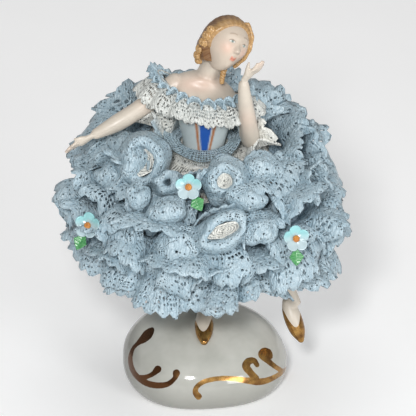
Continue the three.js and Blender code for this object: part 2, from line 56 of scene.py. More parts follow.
# Mound
MOUND_WIDTH = 63
MOUND_DEPTH = 60
MOUND_HEIGHT = 27
MOUND_GIRDLE_HEIGHT = 8.7
MOUND_TUCK = 5
MOUND_SWAY = 0.8

# Dancer, whose forms are given in percent of the body's height
BODY_HEIGHT = 126
PERCENT = BODY_HEIGHT / 100

# Underskirt
UNDERSKIRT_WIDTH = 82
UNDERSKIRT_DEPTH = 78
UNDERSKIRT_RISE = 24.5
UNDERSKIRT_DROP = 24.5

# Skirt frills
FRILL_WIDTH = 16
FRILL_WAVE = 4.4
FRILL_FOLDS = 12
LACE_THICKNESS = 0.8
CAD_LACE_THICKNESS = 1.3
CONTACT_GAP = 0.3

# Blossoms
BLOSSOM_DIAMETER = 10
BLOSSOM_THICKNESS = 2.4
BLOSSOM_LIFT = 1.2
CENTRE_DIAMETER = 2.6
LEAF_LENGTH = 7
LEAF_WIDTH = 4.2
LEAF_TUCK = 1.8


# Numbers


def vec(x, y, z):
    """Points from their coordinates, which may be numbers or arrays."""
    return np.stack(np.broadcast_arrays(x, y, z), axis=-1).astype(float)


def unit(vectors):
    return vectors / np.linalg.norm(vectors, axis=-1, keepdims=True)


def mix(a, b, share):
    return a + (b - a) * share


def smooth(x, low, high):
    """0 under low, 1 over high and a soft step between."""
    share = np.clip((x - low) / (high - low), 0, 1)
    return share * share * (3 - 2 * share)


def bell(value, centre, width):
    """1 at the centre and soft to 0 at about two widths from it."""
    return np.exp(-(((value - centre) / width) ** 2))


def ripple(u, count, seed):
    """Smooth noise between -1 and 1 with count values round the turn."""
    values = np.random.default_rng(seed).uniform(-1, 1, count)
    place = (u % 1) * count
    low = np.floor(place).astype(int)
    share = smooth(place - low, 0, 1)
    return mix(values[low % count], values[(low + 1) % count], share)


def crumple(u, t, columns, rows, seed):
    """Smooth noise between -1 and 1 with columns values round the turn and rows values across."""
    values = np.random.default_rng(seed).uniform(-1, 1, (rows + 2, columns))
    column, row = (u % 1) * columns, np.clip(t, 0, 1) * rows
    c, r = np.floor(column).astype(int), np.floor(row).astype(int)
    across, down = smooth(column - c, 0, 1), smooth(row - r, 0, 1)
    upper = mix(values[r, c % columns], values[r, (c + 1) % columns], across)
    lower = mix(values[r + 1, c % columns], values[r + 1, (c + 1) % columns], across)
    return mix(upper, lower, down)


def spline(rows, samples):
    """Catmull-Rom curve through rows of numbers, with samples steps between two rows."""
    rows = np.array(rows, float)
    padded = np.concatenate([2 * rows[:1] - rows[1:2], rows, 2 * rows[-1:] - rows[-2:-1]])
    s = np.linspace(0, len(rows) - 1, samples * (len(rows) - 1) + 1)
    k = np.minimum(s.astype(int), len(rows) - 2)
    t = (s - k)[:, None]
    a, b, c, d = (padded[k + i] for i in range(4))
    bent, twisted = 2 * a - 5 * b + 4 * c - d, 3 * b - a - 3 * c + d
    return 0.5 * (2 * b + (c - a) * t + bent * t**2 + twisted * t**3)


def body(x, y, z):
    """A place on the body in percent of its height, from the middle of the mound's top."""
    return vec(x, y, z) * PERCENT + np.array([0, 0, MOUND_HEIGHT])


# Skirt

WAIST = (0, 0.3, 57.1)
WAIST_HALF_WIDTH = 6.3 * PERCENT
SKIRT_LEAN = math.tan(math.radians(16))
SKIRT_SETBACK = 2.5
HEM_FALL = math.radians(130)
SHOULDER_FLATNESS = 0.86
HEM_ROUNDNESS = 0.5
SKIRT_CENTRE = body(*WAIST) + np.array([0, SKIRT_SETBACK, -UNDERSKIRT_RISE])

# The rows of frills from the waist down: where each is sewn on, how far it leans all round and more in
# front (all in degrees), how far it arches, and the columns of cells of its strip
FRILL_FALLS = [23, 38, 54, 72, 90, 108, 125]
FRILL_LEANS = [8, 14, 24, 32, 34, 38, 44]
FRONT_DROOPS = [66, 52, 46, 46, 46, 46, 46]
FRILL_ARCH = np.radians([110, 105, 95, 85, 80, 75, 65])
FRILL_COLUMNS = [244, 292, 328, 344, 348, 340, 308]
FRILL_ROWS = 13
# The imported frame's own droop and curl of a frill, which place the blossoms
CAD_FRONT_DROOP = 46
CAD_FRILL_CURL = math.radians(26)
# How much wider the frills are in front, and how far their folds are turned towards the viewer
FRONT_EXTRA = 0.25
FRONT_PUFF = math.radians(30)
# Their ruffles: how many, how high, how far they sway sideways, and how far their edges roll and lift
FRILL_LOBES = [13, 16, 18, 20, 21, 21, 19]
LOBE_HEIGHT = [4.6, 4.6, 4.4, 4.2, 4.0, 3.8, 3.4]
LOBE_SWAY = 2.9
LOBE_SKEW = 3.2
LOBE_EXTRA = 0.05
LOBE_LIFT = math.radians(20)
ROLL = math.radians(20)
FRONT_LIVELINESS = 0.9
# The long waves under the ruffles: how much of them is kept, and how unevenly they are spread
COARSE_SHARE = 0.45
CROWDING = 0.3
ROOT_WANDER = math.radians(7)
# The crumpled lace: its creases at the free edge, its dents in large and small, and those sideways
EDGE_CREASE = 0.4
LARGE_DENT = 1.0
SMALL_DENT = 0.35
SIDE_DENT = 0.8
# The pleated band at the gathered edge: its share of the strip's rows, how far up each row's reaches,
# how deep its pleats are, and how far it stands out at its top
BAND = 3 / FRILL_ROWS
BAND_REACH = np.radians([3, 12, 14, 16, 17, 17, 16])
PLEAT_DEPTH = 0.35
BAND_LIFT = 0.5
# Where the rows are cut shorter: rows, angle round the skirt, spread of the cut, and share of the width
FRILL_CUTS = [
    ((3, 4, 5), -90, 50, 0.12), ((6,), -90, 60, 0.20), ((3, 4, 5), 90, 50, 0.05), ((4, 5), -150, 38, 0.25),
    ((6,), -150, 38, 0.34), ((4,), -170, 20, 0.16), ((2, 3), 173, 15, 0.40), ((3,), -176, 7, -0.12),
    ((4, 5), 178, 28, 0.12), ((5, 6), -52, 22, 0.31), ((6,), -5, 32, 0.28), ((0, 1, 2), 38, 22, 0.30),
    ((2, 3), 0, 28, 0.18), ((4,), -10, 20, 0.06), ((0, 1, 2), 148, 30, -0.10), ((0,), 62, 9, -0.20),
    ((1,), 62, 10, 0.16), ((1, 2), 108, 14, 0.18), ((2,), 50, 6, -0.14), ((2, 3), 41, 6, 0.10),
    ((3,), 31, 7, 0.12), ((3,), 168, 9, 0.28), ((5,), 180, 10, 0.14), ((5, 6), -62, 10, 0.12),
    ((4, 5), -3, 10, -0.08), ((0,), -32, 26, 0.30), ((0,), -143, 15, 0.75), ((0,), -70, 15, 0.75),
    ((1,), -79, 14, 0.70), ((0,), -100, 13, 0.75), ((2,), -78, 17, 0.50),
    ((2,), -94, 9, 0.45), ((2, 3), -66, 7, 0.25), ((0,), -40, 13, 0.40), ((2,), 45, 6, 0.14),
    ((2,), 63, 6, -0.12), ((3,), 46, 6, -0.10), ((3,), 160, 6, 0.15), ((3,), -165, 8, 0.08),
    ((4,), -11, 6, 0.10),
]
# The skirt's widest places along x and y, and how softly the lace is pressed in beyond them
SKIRT_LIMITS = ((0, -55.5, 54, 2.6), (1, -52, 57.5, 3))

# Meshes


def add_piece(name, points, faces, colours=None, masks=None):
    """An object from points in millimetres and a list of face arrays, with colours and masks by point."""
    mesh = bpy.data.meshes.new(name)
    mesh.vertices.add(len(points))
    mesh.vertices.foreach_set("co", (points * MM).astype(np.float32).ravel())
    sizes = np.concatenate([np.full(len(part), part.shape[1]) for part in faces])
    corners = np.concatenate([part.ravel() for part in faces])
    mesh.loops.add(len(corners))
    mesh.loops.foreach_set("vertex_index", corners.astype(np.int32))
    mesh.polygons.add(len(sizes))
    starts = np.concatenate([[0], np.cumsum(sizes)[:-1]])
    mesh.polygons.foreach_set("loop_start", starts.astype(np.int32))
    mesh.update(calc_edges=True)
    mesh.validate()
    mesh.shade_smooth()
    piece = bpy.data.objects.new(name, mesh)
    bpy.context.scene.collection.objects.link(piece)
    set_colours(piece, colours, masks)
    return piece


def set_colours(piece, colours, masks):
    """Painted colours and masks are kept with the mesh's points."""
    if colours is not None:
        layer = piece.data.attributes.new("paint", "FLOAT_COLOR", "POINT")
        values = np.concatenate([colours, np.ones((len(colours), 1))], axis=1)
        layer.data.foreach_set("color", values.astype(np.float32).ravel())
    for name, values in (masks or {}).items():
        layer = piece.data.attributes.new(name, "FLOAT", "POINT")
        layer.data.foreach_set("value", values.astype(np.float32))


def finish_piece(piece, node, slot, material):
    """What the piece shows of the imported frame, and its material."""
    piece.data.materials.append(material)
    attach(piece, "root")
    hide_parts(node)


def grid_faces(columns, rows, first=0):
    """Quads of a grid that is closed round its columns and has rows + 1 rings of points."""
    column, row = np.meshgrid(np.arange(columns), np.arange(rows))
    a = first + row * columns + column
    b = first + row * columns + (column + 1) % columns
    return np.stack([a, b, b + columns, a + columns], axis=-1).reshape(-1, 4)


# How far outside the painted gold a place is where there is none
NO_GOLD = -5.0


class Assembly:
    """Gathers closed shells into one mesh, with a colour and a gold mask for each point."""

    def __init__(self):
        self.points, self.faces, self.colours, self.gold = [], [], [], []
        self.count = 0

    def add_rings(self, rings, colours=None, gold=None):
        """A closed shell of rings of points, each end closed by a fan to the middle of its last ring."""
        rows, columns = rings.shape[:2]
        points = rings.reshape(-1, 3)
        ends = np.array([rings[0].mean(axis=0), rings[-1].mean(axis=0)])
        column = np.arange(columns)
        first, last = self.count, self.count + (rows - 1) * columns
        pole = self.count + len(points)
        following = (column + 1) % columns
        self.faces += [
            grid_faces(columns, rows - 1, self.count),
            np.stack([first + following, first + column, np.full(columns, pole)], axis=-1),
            np.stack([last + column, last + following, np.full(columns, pole + 1)], axis=-1),
        ]
        self.points.append(np.concatenate([points, ends]))
        self.count += len(points) + 2
        stores = ((self.colours, colours, 3, 1.0), (self.gold, gold, 1, NO_GOLD))
        for store, values, width, default in stores:
            flat = np.full((rows * columns, width), default) if values is None else values.reshape(-1, width)
            store.append(np.concatenate([flat, flat[:1], flat[-1:]]))

    def build(self, name, painted=False):
        points = np.concatenate(self.points)
        colours = np.concatenate(self.colours) if painted else None
        masks = {"gold": np.concatenate(self.gold)[:, 0]} if painted else None
        return add_piece(name, points, self.faces, colours, masks)


def add_shell(name, node, slot, material, rings, colours=None, gold=None):
    """A piece of one closed shell."""
    shell = Assembly()
    shell.add_rings(rings, colours, gold)
    painted_on = colours is not None or gold is not None
    finish_piece(shell.build(name, painted_on), node, slot, material)


# Mound

MOUND_COLUMNS = 260
TUCK_ROWS = 12
TOP_ROWS = 64
# Heights between which the mound's upper part sways to the dancer's right
SWAY_HEIGHTS = (9, 17)
# Where the gold of the front ends and that of the back begins, and how far its two scrolls stand apart
FRONT_GOLD_END = 12
BACK_GOLD_START = 14
BACK_SCROLLS_APART = 6


def mound_outline(angle):
    """Half the mound's width in a direction, with the soft corners of a pebble."""
    oval = 1 / np.hypot(np.cos(angle) / (MOUND_WIDTH / 2), np.sin(angle) / (MOUND_DEPTH / 2))
    return oval * (1 + 0.018 * np.cos(3 * angle + 0.4) - 0.012 * np.cos(5 * angle + 1.1))


def mound_top(x, y):
    """Height of the mound's upper face, which falls towards the front."""
    share = np.minimum(np.hypot(x, y) / mound_outline(np.arctan2(y, x)), 1)
    slope = 1 + 0.2 * (y / (MOUND_DEPTH / 2))
    return MOUND_GIRDLE_HEIGHT + (MOUND_HEIGHT - MOUND_GIRDLE_HEIGHT) * np.sqrt(1 - share**3) * slope


# Painted scrolls, as points [across, up, half width] in the plane that faces the viewer
SCROLLS = [
    [[-20.0, 19.4, 1.0], [-21.4, 17.8, 1.8], [-23.2, 16.0, 1.5], [-25.4, 14.2, 0.8], [-27.3, 11.9, 0.7],
     [-28.2, 8.2, 0.9], [-27.3, 4.2, 1.0], [-25.0, 1.2, 1.1], [-21.6, -0.8, 1.2], [-17.4, -1.5, 1.2],
     [-13.6, -0.8, 1.0], [-11.1, 1.4, 0.9], [-10.5, 3.3, 1.4]],
    [[-25.4, 1.4, 1.0], [-22.4, 1.6, 0.9], [-19.6, 2.8, 0.9], [-17.6, 4.7, 1.4]],
    [[-2.1, -5.6, 1.3], [-3.2, -4.2, 1.1], [-2.8, -2.0, 0.9], [0.4, 0.2, 0.9],
     [6.5, 1.3, 0.9], [12.0, 1.0, 1.0], [17.3, 0.2, 1.2], [21.0, -0.2, 1.3], [25.0, 0.6, 1.1],
     [29.6, 2.9, 0.8], [31.7, 5.0, 0.4]],
    [[19.8, 1.2, 1.2], [17.7, 3.3, 1.3], [16.0, 5.7, 1.5], [16.8, 7.5, 1.4], [18.9, 7.9, 1.1],
     [20.2, 6.2, 0.9]],
    [[30.0, 3.6, 0.8], [27.2, 5.4, 0.9], [24.5, 7.6, 1.1], [22.2, 9.9, 1.5], [23.0, 11.0, 1.7],
     [24.6, 10.6, 1.4], [25.5, 9.2, 0.8]],
]


def picture_place(points):
    """Across and up in the plane that faces the viewer, in millimetres."""
    return points[..., 0], points[..., 2] * PICTURE_UP[2] + points[..., 1] * PICTURE_UP[1]


def scroll_depth(across, up):
    """How far inside the painted scrolls a place is, and below 0 how far outside."""
    deepest = np.full(across.shape, -10.0)
    for scroll in SCROLLS:
        line = spline(scroll, 6)
        for a, b in zip(line[:-1], line[1:]):
            step = b[:2] - a[:2]
            along = ((across - a[0]) * step[0] + (up - a[1]) * step[1]) / max(step @ step, 1e-9)
            along = np.clip(along, 0, 1)
            away = np.hypot(across - a[0] - along * step[0], up - a[1] - along * step[1])
            deepest = np.maximum(deepest, mix(a[2], b[2], along) - away)
    return deepest


def build_mound():
    # Columns are closer together in front, where the scrolls are.
    u = TURN * np.arange(MOUND_COLUMNS) / MOUND_COLUMNS
    angle = u - 0.45 * np.sin(u) - TURN / 4
    reach = mound_outline(angle)
    lift = np.linspace(0, 1, TUCK_ROWS)[:, None]
    bulge = 1 - MOUND_TUCK / reach * (1 - np.sin(lift * math.pi / 2))
    tuck = vec(np.cos(angle) * reach * bulge, np.sin(angle) * reach * bulge,
               MOUND_GIRDLE_HEIGHT * (1 - np.cos(lift * math.pi / 2)))
    share = np.cos(np.linspace(0, math.pi / 2, TOP_ROWS + 1)[1:, None] * 0.995)
    x, y = np.cos(angle) * reach * share, np.sin(angle) * reach * share
    rings = np.concatenate([tuck, vec(x, y, mound_top(x, y))])
    rings[..., 0] -= MOUND_SWAY * smooth(rings[..., 2], *SWAY_HEIGHTS)

    deep, height = rings[..., 1], rings[..., 2]
    across, up = picture_place(rings)
    front = scroll_depth(across, up)
    # The back carries the scrolls of the left side, and their mirror image.
    back_up = height * PICTURE_UP[2] - deep * PICTURE_UP[1]
    back = scroll_depth(BACK_SCROLLS_APART - np.abs(across), back_up)
    gold = np.where(deep < FRONT_GOLD_END - 0.4 * height, front,
                    np.where(deep > BACK_GOLD_START, back, NO_GOLD))
    add_shell("mound_glazed", "mound", "white_glaze", glaze_material(), rings, gold=gold)


# Lace

# How much of a point's jitter a hole has
HOLE_JITTER = 0.45


def lattice(columns, rows, rng, look):
    """Places u and t of a strip's points, pushed about by chance and drawn out into teeth."""
    jitter = rng.uniform(-0.5, 0.5, (2, rows + 1, columns)) * look["jitter"]
    jitter[1, [0, rows]] = 0
    u = (np.arange(columns) + jitter[0]) / columns
    t = (np.arange(rows + 1)[:, None] + jitter[1]) / rows
    teeth = 1 - 2 * np.abs(np.sin(math.pi * np.arange(columns) / look["tooth_columns"]))
    return u, t + look["tooth"] * t**look["tooth_fade"] * teeth


def pierced_cells(columns, rows, seed, rng, look):
    """Which cells have a hole: holes come in clusters, and more of them towards the free edge."""
    across, down = np.meshgrid(np.arange(columns), np.arange(rows))
    wide = max(columns // look["patch"], 1)
    patches = crumple(across / columns, down / rows, wide, rows // 2 + 1, seed + 1)
    chance = patches * look["patchiness"] + rng.uniform(-0.5, 0.5, patches.shape) * look["scatter"]
    share = (down + 0.5) / rows
    eyelets = down == rows - 1 - look["eyelet_row"]
    pierced = chance < look["fullness"] - look["thinning"] * (1 - share)
    pierced |= eyelets
    pierced &= (share > look["open_from"]) & (down < rows - look["plain_rows"])
    if look["eyelet_row"] >= 0:
        pierced &= ~eyelets | (across % look["tooth_columns"] == 0)
    return pierced


def hole_weights(count, rng, look):
    """Shares of their cell's four corners for the eight points round each hole."""
    turn = -3 * TURN / 8 + TURN / 8 * np.arange(8)
    size = rng.uniform(*look["hole"], (count, 1)) * np.where(np.arange(8) % 2 == 0, look["square"], 1)
    shift = rng.uniform(-0.5, 0.5, (2, count, 1)) * look["jitter"] * HOLE_JITTER
    s, q = 0.5 + shift[0] + size * np.cos(turn), 0.5 + shift[1] + size * np.sin(turn)
    return np.stack([(1 - s) * (1 - q), s * (1 - q), s * q, (1 - s) * q])


def both_faces(surface, u, t, thickness):
    """Points on the upper and on the under face of a sheet whose middle face is surface(u, t)."""
    step = 1e-4
    half = thickness / 2
    middle = surface(u, t)
    normal = np.cross(surface(u + step, t) - surface(u - step, t),
                      surface(u, t + step) - surface(u, np.maximum(t - step, 0)))
    normal /= np.maximum(np.linalg.norm(normal, axis=1, keepdims=True), 1e-12)
    return np.concatenate([middle + normal * half, middle - normal * half])


def lace_cells(surface, columns, rows, seed, look):
    """Points and faces of a gathered strip of lace that is closed round its columns, and their share t.

    surface(u, t) gives its middle face, u round the strip and t from the gathered edge to the free edge.
    look says how thick it is and where its holes are.
    """
    rng = np.random.default_rng(seed)
    u, t = lattice(columns, rows, rng, look)

    # A cell's corners, in order round it
    following = np.roll(u, -1, axis=1)
    following[:, -1] += 1
    corner_u = np.stack([u[:-1], following[:-1], following[1:], u[1:]])
    next_t = np.roll(t, -1, axis=1)
    corner_t = np.stack([t[:-1], next_t[:-1], next_t[1:], t[1:]])
    index = np.arange((rows + 1) * columns).reshape(rows + 1, columns)
    beside = np.roll(index, -1, axis=1)
    corners = np.stack([index[:-1], beside[:-1], beside[1:], index[1:]], axis=-1)

    pierced = pierced_cells(columns, rows, seed, rng, look)
    r, c = np.nonzero(pierced)
    weights = hole_weights(len(r), rng, look)
    ring_u = (weights * corner_u[:, r, c][..., None]).sum(axis=0)
    ring_t = (weights * corner_t[:, r, c][..., None]).sum(axis=0)
    flat_t = np.concatenate([t.ravel(), ring_t.ravel()])
    points = both_faces(surface, np.concatenate([u.ravel(), ring_u.ravel()]), flat_t, look["thickness"])
    under = len(flat_t)

    # Whole cells, pierced cells with the walls of their holes, and the strip's two edges
    whole = corners[~pierced]
    faces = [whole, whole[:, ::-1] + under]
    ring = (rows + 1) * columns + np.arange(8 * len(r)).reshape(-1, 8)
    triangles = []
    for k in range(4):
        a, b = corners[r, c, k], corners[r, c, (k + 1) % 4]
        near, between, far = ring[:, 2 * k], ring[:, 2 * k + 1], ring[:, (2 * k + 2) % 8]
        triangles += [[a, b, between], [a, between, near], [b, far, between]]
    triangles = np.concatenate([np.stack(triangle, axis=-1) for triangle in triangles])
    faces += [triangles, triangles[:, ::-1] + under]
    onward = np.roll(ring, -1, axis=1)
    faces.append(np.stack([ring, onward, onward + under, ring + under], axis=-1).reshape(-1, 4))
    for a, b in ((index[0], beside[0]), (beside[-1], index[-1])):
        faces.append(np.stack([b, a, a + under, b + under], axis=-1))
    return points, faces, np.tile(np.clip(flat_t, 0, 1), 2)


def add_lace(name, node, material, surface, cells, seed, look, shares=(0, 1), white=None):
    """A piece of lace of some columns and rows of cells.

    shares says where its gathered and its free edge lie between the painted shading at the root and
    its own colour, and white gives each point's share of white.
    """
    points, faces, across = lace_cells(surface, *cells, seed, look)
    # share 0 takes the root's painted shading (painted shade on blue lace, painted light on white lace), 1
    # the lace's own colour
    masks = {"share": mix(*shares, across)}
    if white is not None:
        masks["white"] = white(points, across)
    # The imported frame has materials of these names, so Blender adds a number to the name of this one
    slot = material.name.split(".")[0]
    finish_piece(add_piece(name, points, faces, masks=masks), node, slot, material)


# Lace with irregular round holes; thickness is in millimetres, the rest in cells or in shares
ROUND_LACE = {
    "thickness": LACE_THICKNESS, "jitter": 0.45, "tooth": -0.045, "tooth_fade": 9, "tooth_columns": 3,
    "patch": 6, "patchiness": 0.42, "scatter": 0.8, "fullness": 0.08, "thinning": 0.25,
    "open_from": 0.38, "eyelet_row": 1, "plain_rows": 1, "hole": (0.24, 0.40), "square": 1.0,
}
NO_EYELETS = {"eyelet_row": -1}
NO_HOLES = {**NO_EYELETS, "fullness": -0.1}
# Net with one square hole in each cell
NET = {
    **ROUND_LACE, **NO_EYELETS, "jitter": 0.12, "patchiness": 0.0, "scatter": 0.1, "fullness": 1.0,
    "thinning": 0.0, "open_from": 0.0, "plain_rows": 0, "hole": (0.27, 0.33), "square": 1.3, "tooth": 0.0,
}


def underskirt_point(angle, fall):
    """The underskirt's outer face. fall is the angle from the waist down over the hips to the hem."""
    over = fall <= math.pi / 2
    reach = np.sin(fall) ** np.where(over, SHOULDER_FLATNESS, HEM_ROUNDNESS)
    drop = np.where(over, UNDERSKIRT_RISE, UNDERSKIRT_DROP) * np.cos(fall)
    across = UNDERSKIRT_WIDTH / 2 * reach * np.cos(angle)
    deep = UNDERSKIRT_DEPTH / 2 * reach * np.sin(angle)
    hem = UNDERSKIRT_DROP * math.cos(HEM_FALL)
    lean = SKIRT_LEAN * deep * (drop - hem) / (UNDERSKIRT_RISE - hem)
    return SKIRT_CENTRE + vec(across, deep, drop + lean)


def underskirt_frame(angle, fall):
    """Unit directions on the underskirt: round it, down it and out of it."""
    step = 1e-3
    round_it = unit(underskirt_point(angle + step, fall) - underskirt_point(angle - step, fall))
    down = unit(underskirt_point(angle, fall + step) - underskirt_point(angle, fall - step))
    return round_it, down, unit(np.cross(down, round_it))


def collar_fall():
    collar_radius = WAIST_HALF_WIDTH + CONTACT_GAP
    return math.asin((collar_radius / (UNDERSKIRT_WIDTH / 2)) ** (1 / SHOULDER_FLATNESS))


def ruffle(x, sharpness=4):
    """A fold's height between -1 and 1: broad crests with narrow gaps between them."""
    return 1 - 2 * np.abs(np.cos(x / 2)) ** sharpness


class Lobes:
    """Uneven ruffles round a strip, each with a width and six traits between -1 and 1 of its own."""

    def __init__(self, count, seed):
        rng = np.random.default_rng(seed)
        widths = rng.uniform(0.6, 1.45, count)
        self.widths = widths / widths.mean()
        self.edges = np.concatenate([[0], np.cumsum(widths) / widths.sum()])
        self.start = rng.uniform()
        self.traits = rng.uniform(-1, 1, (6, count))

    def at(self, u):
        """The phase within the lobe at u, the lobe's width against the mean, and its traits."""
        place = (u + self.start) % 1
        lobe = np.clip(np.searchsorted(self.edges, place, side="right") - 1, 0, len(self.widths) - 1)
        phase = TURN * (place - self.edges[lobe]) / (self.edges[lobe + 1] - self.edges[lobe])
        return phase, self.widths[lobe], self.traits[:, lobe]


def frill_frontness(angle, row):
    return np.maximum(-np.sin(angle), 0) ** 2 * (1 - row / len(FRILL_LEANS)) ** 1.5


def shortening(row, angle):
    """The share by which a row is cut shorter at an angle, where the rows lie closer together."""
    cut = 0
    for rows, degrees, spread, amount in FRILL_CUTS:
        if row in rows:
            away = (angle - math.radians(degrees) + math.pi) % TURN - math.pi
            cut = cut + amount * np.exp(-((away / math.radians(spread)) ** 2))
    return cut


def held_in(points):
    """Points of the frills, with those beyond the skirt's widest places pressed softly inwards."""
    points = points.copy()
    for axis, low, high, give in SKIRT_LIMITS:
        value = points[..., axis]
        value = np.where(value > high, high + give * np.tanh((value - high) / give), value)
        points[..., axis] = np.where(value < low, low + give * np.tanh((value - low) / give), value)
    return points


def skirt_frill_surface(row, seed):
    """The middle face of one row of frills: a pleated band up to the row above, and the frill itself."""
    count = FRILL_LOBES[row]
    lobes = Lobes(count, seed)

    def surface(u, t):
        crowding = 0.88 * np.sin(2 * TURN * u + row) + 0.52 * np.sin(3 * TURN * u + 2 * row)
        angle = TURN * u + CROWDING * crowding / FRILL_FOLDS
        fall = math.radians(FRILL_FALLS[row]) + ROOT_WANDER * ripple(u, 11, seed + 8)
        round_it, down, out = underskirt_frame(angle, fall)
        facing = np.maximum(-np.sin(angle), 0)
        frontness = frill_frontness(angle, row)
        lean = np.radians(FRILL_LEANS[row] + FRONT_DROOPS[row] * frontness)
        share = np.maximum(t - BAND, 0) / (1 - BAND)
        band = np.maximum(BAND - t, 0) / BAND

        # The ruffle at u, with the traits of its own
        x, width, traits = lobes.at(u)
        tall, rolled, longer, skewed, lifted, slanted = traits * (1 + FRONT_LIVELINESS * facing**2)
        crest = (1 + ruffle(x, 6)) / 2

        # How far the frill reaches, and how far it is bent down
        roll = ROLL * share * crest * (0.3 + rolled)
        arch = FRILL_ARCH[row] * (share - 1) / 2
        bend = lean + arch * (1 - 0.65 * frontness) + roll + LOBE_LIFT * lifted * crest * share
        petal = 1 + crest * share * (LOBE_EXTRA + 0.14 * longer + 0.12 * slanted * np.sin(x))
        cut = shortening(row, angle)
        reach = FRILL_WIDTH * share * (1 + FRONT_EXTRA * frontness - cut) * petal

        # How far it waves in and out, and sideways
        coarse = FRILL_WAVE * mix(0.56, 1, 0.5 + 0.5 * np.sin(3 * angle + row))
        coarse = coarse * np.sin(TURN * FRILL_FOLDS * u + row)
        height = 2 * crest * (1 + 0.45 * tall) - 1 + 0.3 * ripple(u, count // 2, seed + 2)
        dents = LARGE_DENT * crumple(u, t, 3 * count, 3, seed + 5)
        dents = dents + SMALL_DENT * crumple(u, t, 9 * count, 7, seed + 6)
        fold = COARSE_SHARE * coarse * share**1.2 + LOBE_HEIGHT[row] * height * share**1.15
        fold = fold + EDGE_CREASE * np.sin(4 * x + 3 * rolled) * share**3 + share * dents
        sway = (-LOBE_SWAY * width * np.sin(x) + LOBE_SKEW * skewed * crest) * share**1.3
        sway = sway + SIDE_DENT * crumple(u, t, 3 * count, 3, seed + 7) * share
        kept = np.clip(1.5 - 1.9 * cut, 0.1, 1)

        pleats = PLEAT_DEPTH * np.sin(6 * x) * np.minimum(1, 4 * band) + BAND_LIFT * band
        root = underskirt_point(angle, fall - band * BAND_REACH[row])
        root = root + out * (CONTACT_GAP + CAD_LACE_THICKNESS / 2 + pleats)[..., None]
        blade = out * np.cos(bend)[..., None] + down * np.sin(bend)[..., None]
        puff = lean + FRONT_PUFF * facing
        wave = out * np.sin(puff)[..., None] - down * np.cos(puff)[..., None]
        return held_in(root + blade * reach[..., None] + wave * (fold * kept)[..., None]
                       + round_it * (sway * kept)[..., None])

    return surface


# Angles where the first row is white up to its edge: behind the forearm and beside the elbow
YOKE_PATCHES = (-166, -27)
YOKE_PATCH_WIDTH = 13


def yoke_white(points, shares):
    """The white of the yoke, which also shows on the roots of the first row."""
    angle = np.degrees(np.arctan2(points[:, 1] - SKIRT_SETBACK, points[:, 0]))
    patches = sum(np.exp(-(((angle - middle) / YOKE_PATCH_WIDTH) ** 4)) for middle in YOKE_PATCHES)
    return np.maximum(1 - smooth(shares, 0.25, 0.7), patches)


def build_skirt(blue):
    for row, columns in enumerate(FRILL_COLUMNS):
        seed = 100 * (row + 1)
        add_lace(f"frill_{row + 1}_lace", f"skirt_frill_{row + 1}", blue, skirt_frill_surface(row, seed),
                 (columns, FRILL_ROWS), seed, ROUND_LACE, white=yoke_white if row == 0 else None)


# Loops of the upper rows that open towards the viewer: row, middle of the mouth, direction, half sizes
# across and up, depth, turn of the oval in degrees, size of its rolled rim, and whether it has a lining
LOOPS = [
    (0, (-22.6, -22, 102.4), (-0.15, -0.90, 0.38), (5.2, 5.8), 10, -15, 1.2, True),
    (0, (-13.6, -31, 97.8), (-0.20, -0.90, 0.38), (2.2, 1.6), 8, 10, 1.4, False),
    (0, (8.0, -32, 99.0), (0.15, -0.90, 0.38), (3.5, 3.1), 8, 15, 1.9, True),
    (1, (7.6, -43, 83.5), (0.12, -0.95, 0.25), (6.8, 3.0), 8, 16, 1.2, True),
]
# How far the mouths are moved towards the viewer from where the table has them
LOOP_FORWARD = 2.5
# Where a loop's throat ends along its strip, and where its rolled rim ends; the rest is its outer wall
LOOP_THROAT = 0.35
LOOP_RIM = 0.65
LOOP_ROLL = math.radians(150)
LOOP_WALL_SPREAD = 2.6
LOOP_EDGE_WANDER = 1.6
LINING_DEPTH = 2.2
LINING_BEHIND_RIM = 0.3
LINING_TWIST = math.radians(100)

# Lobes that are puffed towards the viewer: row, middle, direction, half sizes across and up, how far
# they bulge, turn of the oval in degrees, and where round it their crease lies in degrees
PUFFS = [
    (0, (-26.8, -22.5, 102.4), (-0.25, -0.88, 0.35), (4.4, 6.4), 4.2, -15, 200),
    (1, (-24.5, -33.0, 93.0), (-0.40, -0.85, 0.30), (3.8, 5.2), 5.0, 10, 60),
    (1, (-14.0, -40.0, 90.3), (-0.25, -0.88, 0.32), (7.2, 4.2), 5.0, 12, 120),
    (0, (22.0, -22.5, 99.4), (0.35, -0.85, 0.36), (7.6, 5.2), 4.5, -25, 300),
    (1, (16.5, -35.0, 93.4), (0.30, -0.85, 0.35), (7.6, 4.4), 5.0, -8, 40),
    (2, (20.5, -40.0, 81.5), (0.35, -0.88, 0.28), (6.6, 5.6), 5.0, 20, 250),
    (0, (-31.0, -6.0, 101.5), (-0.60, -0.60, 0.55), (6.0, 5.0), 4.5, 20, 100),
    (1, (32.5, -24.5, 88.3), (0.55, -0.78, 0.30), (7.0, 5.8), 4.5, 15, 30),
    (1, (-35.0, -18.5, 94.6), (-0.60, -0.70, 0.36), (6.4, 4.8), 4.5, -15, 160),
    (3, (-30.0, -34.5, 75.0), (-0.50, -0.84, 0.22), (6.4, 8.6), 4.5, -10, 270),
    (3, (-9.5, -43.5, 76.0), (-0.15, -0.95, 0.25), (8.8, 6.8), 4.5, 8, 290),
    (1, (33.0, -11.0, 95.0), (0.60, -0.65, 0.45), (6.6, 5.6), 5.0, -20, 180),
]
PUFF_START = 0.07
PUFF_WRAP = math.radians(125)
PUFF_CREASE = 0.40


def mouth_axes(direction, degrees):
    """Unit directions out of a mouth, across it and up it, with its oval turned by some degrees."""
    axis = unit(np.array(direction))
    side = unit(np.cross([0, 0, 1], axis))
    up = np.cross(axis, side)
    cosine, sine = math.cos(math.radians(degrees)), math.sin(math.radians(degrees))
    return axis, side * cosine + up * sine, up * cosine - side * sine


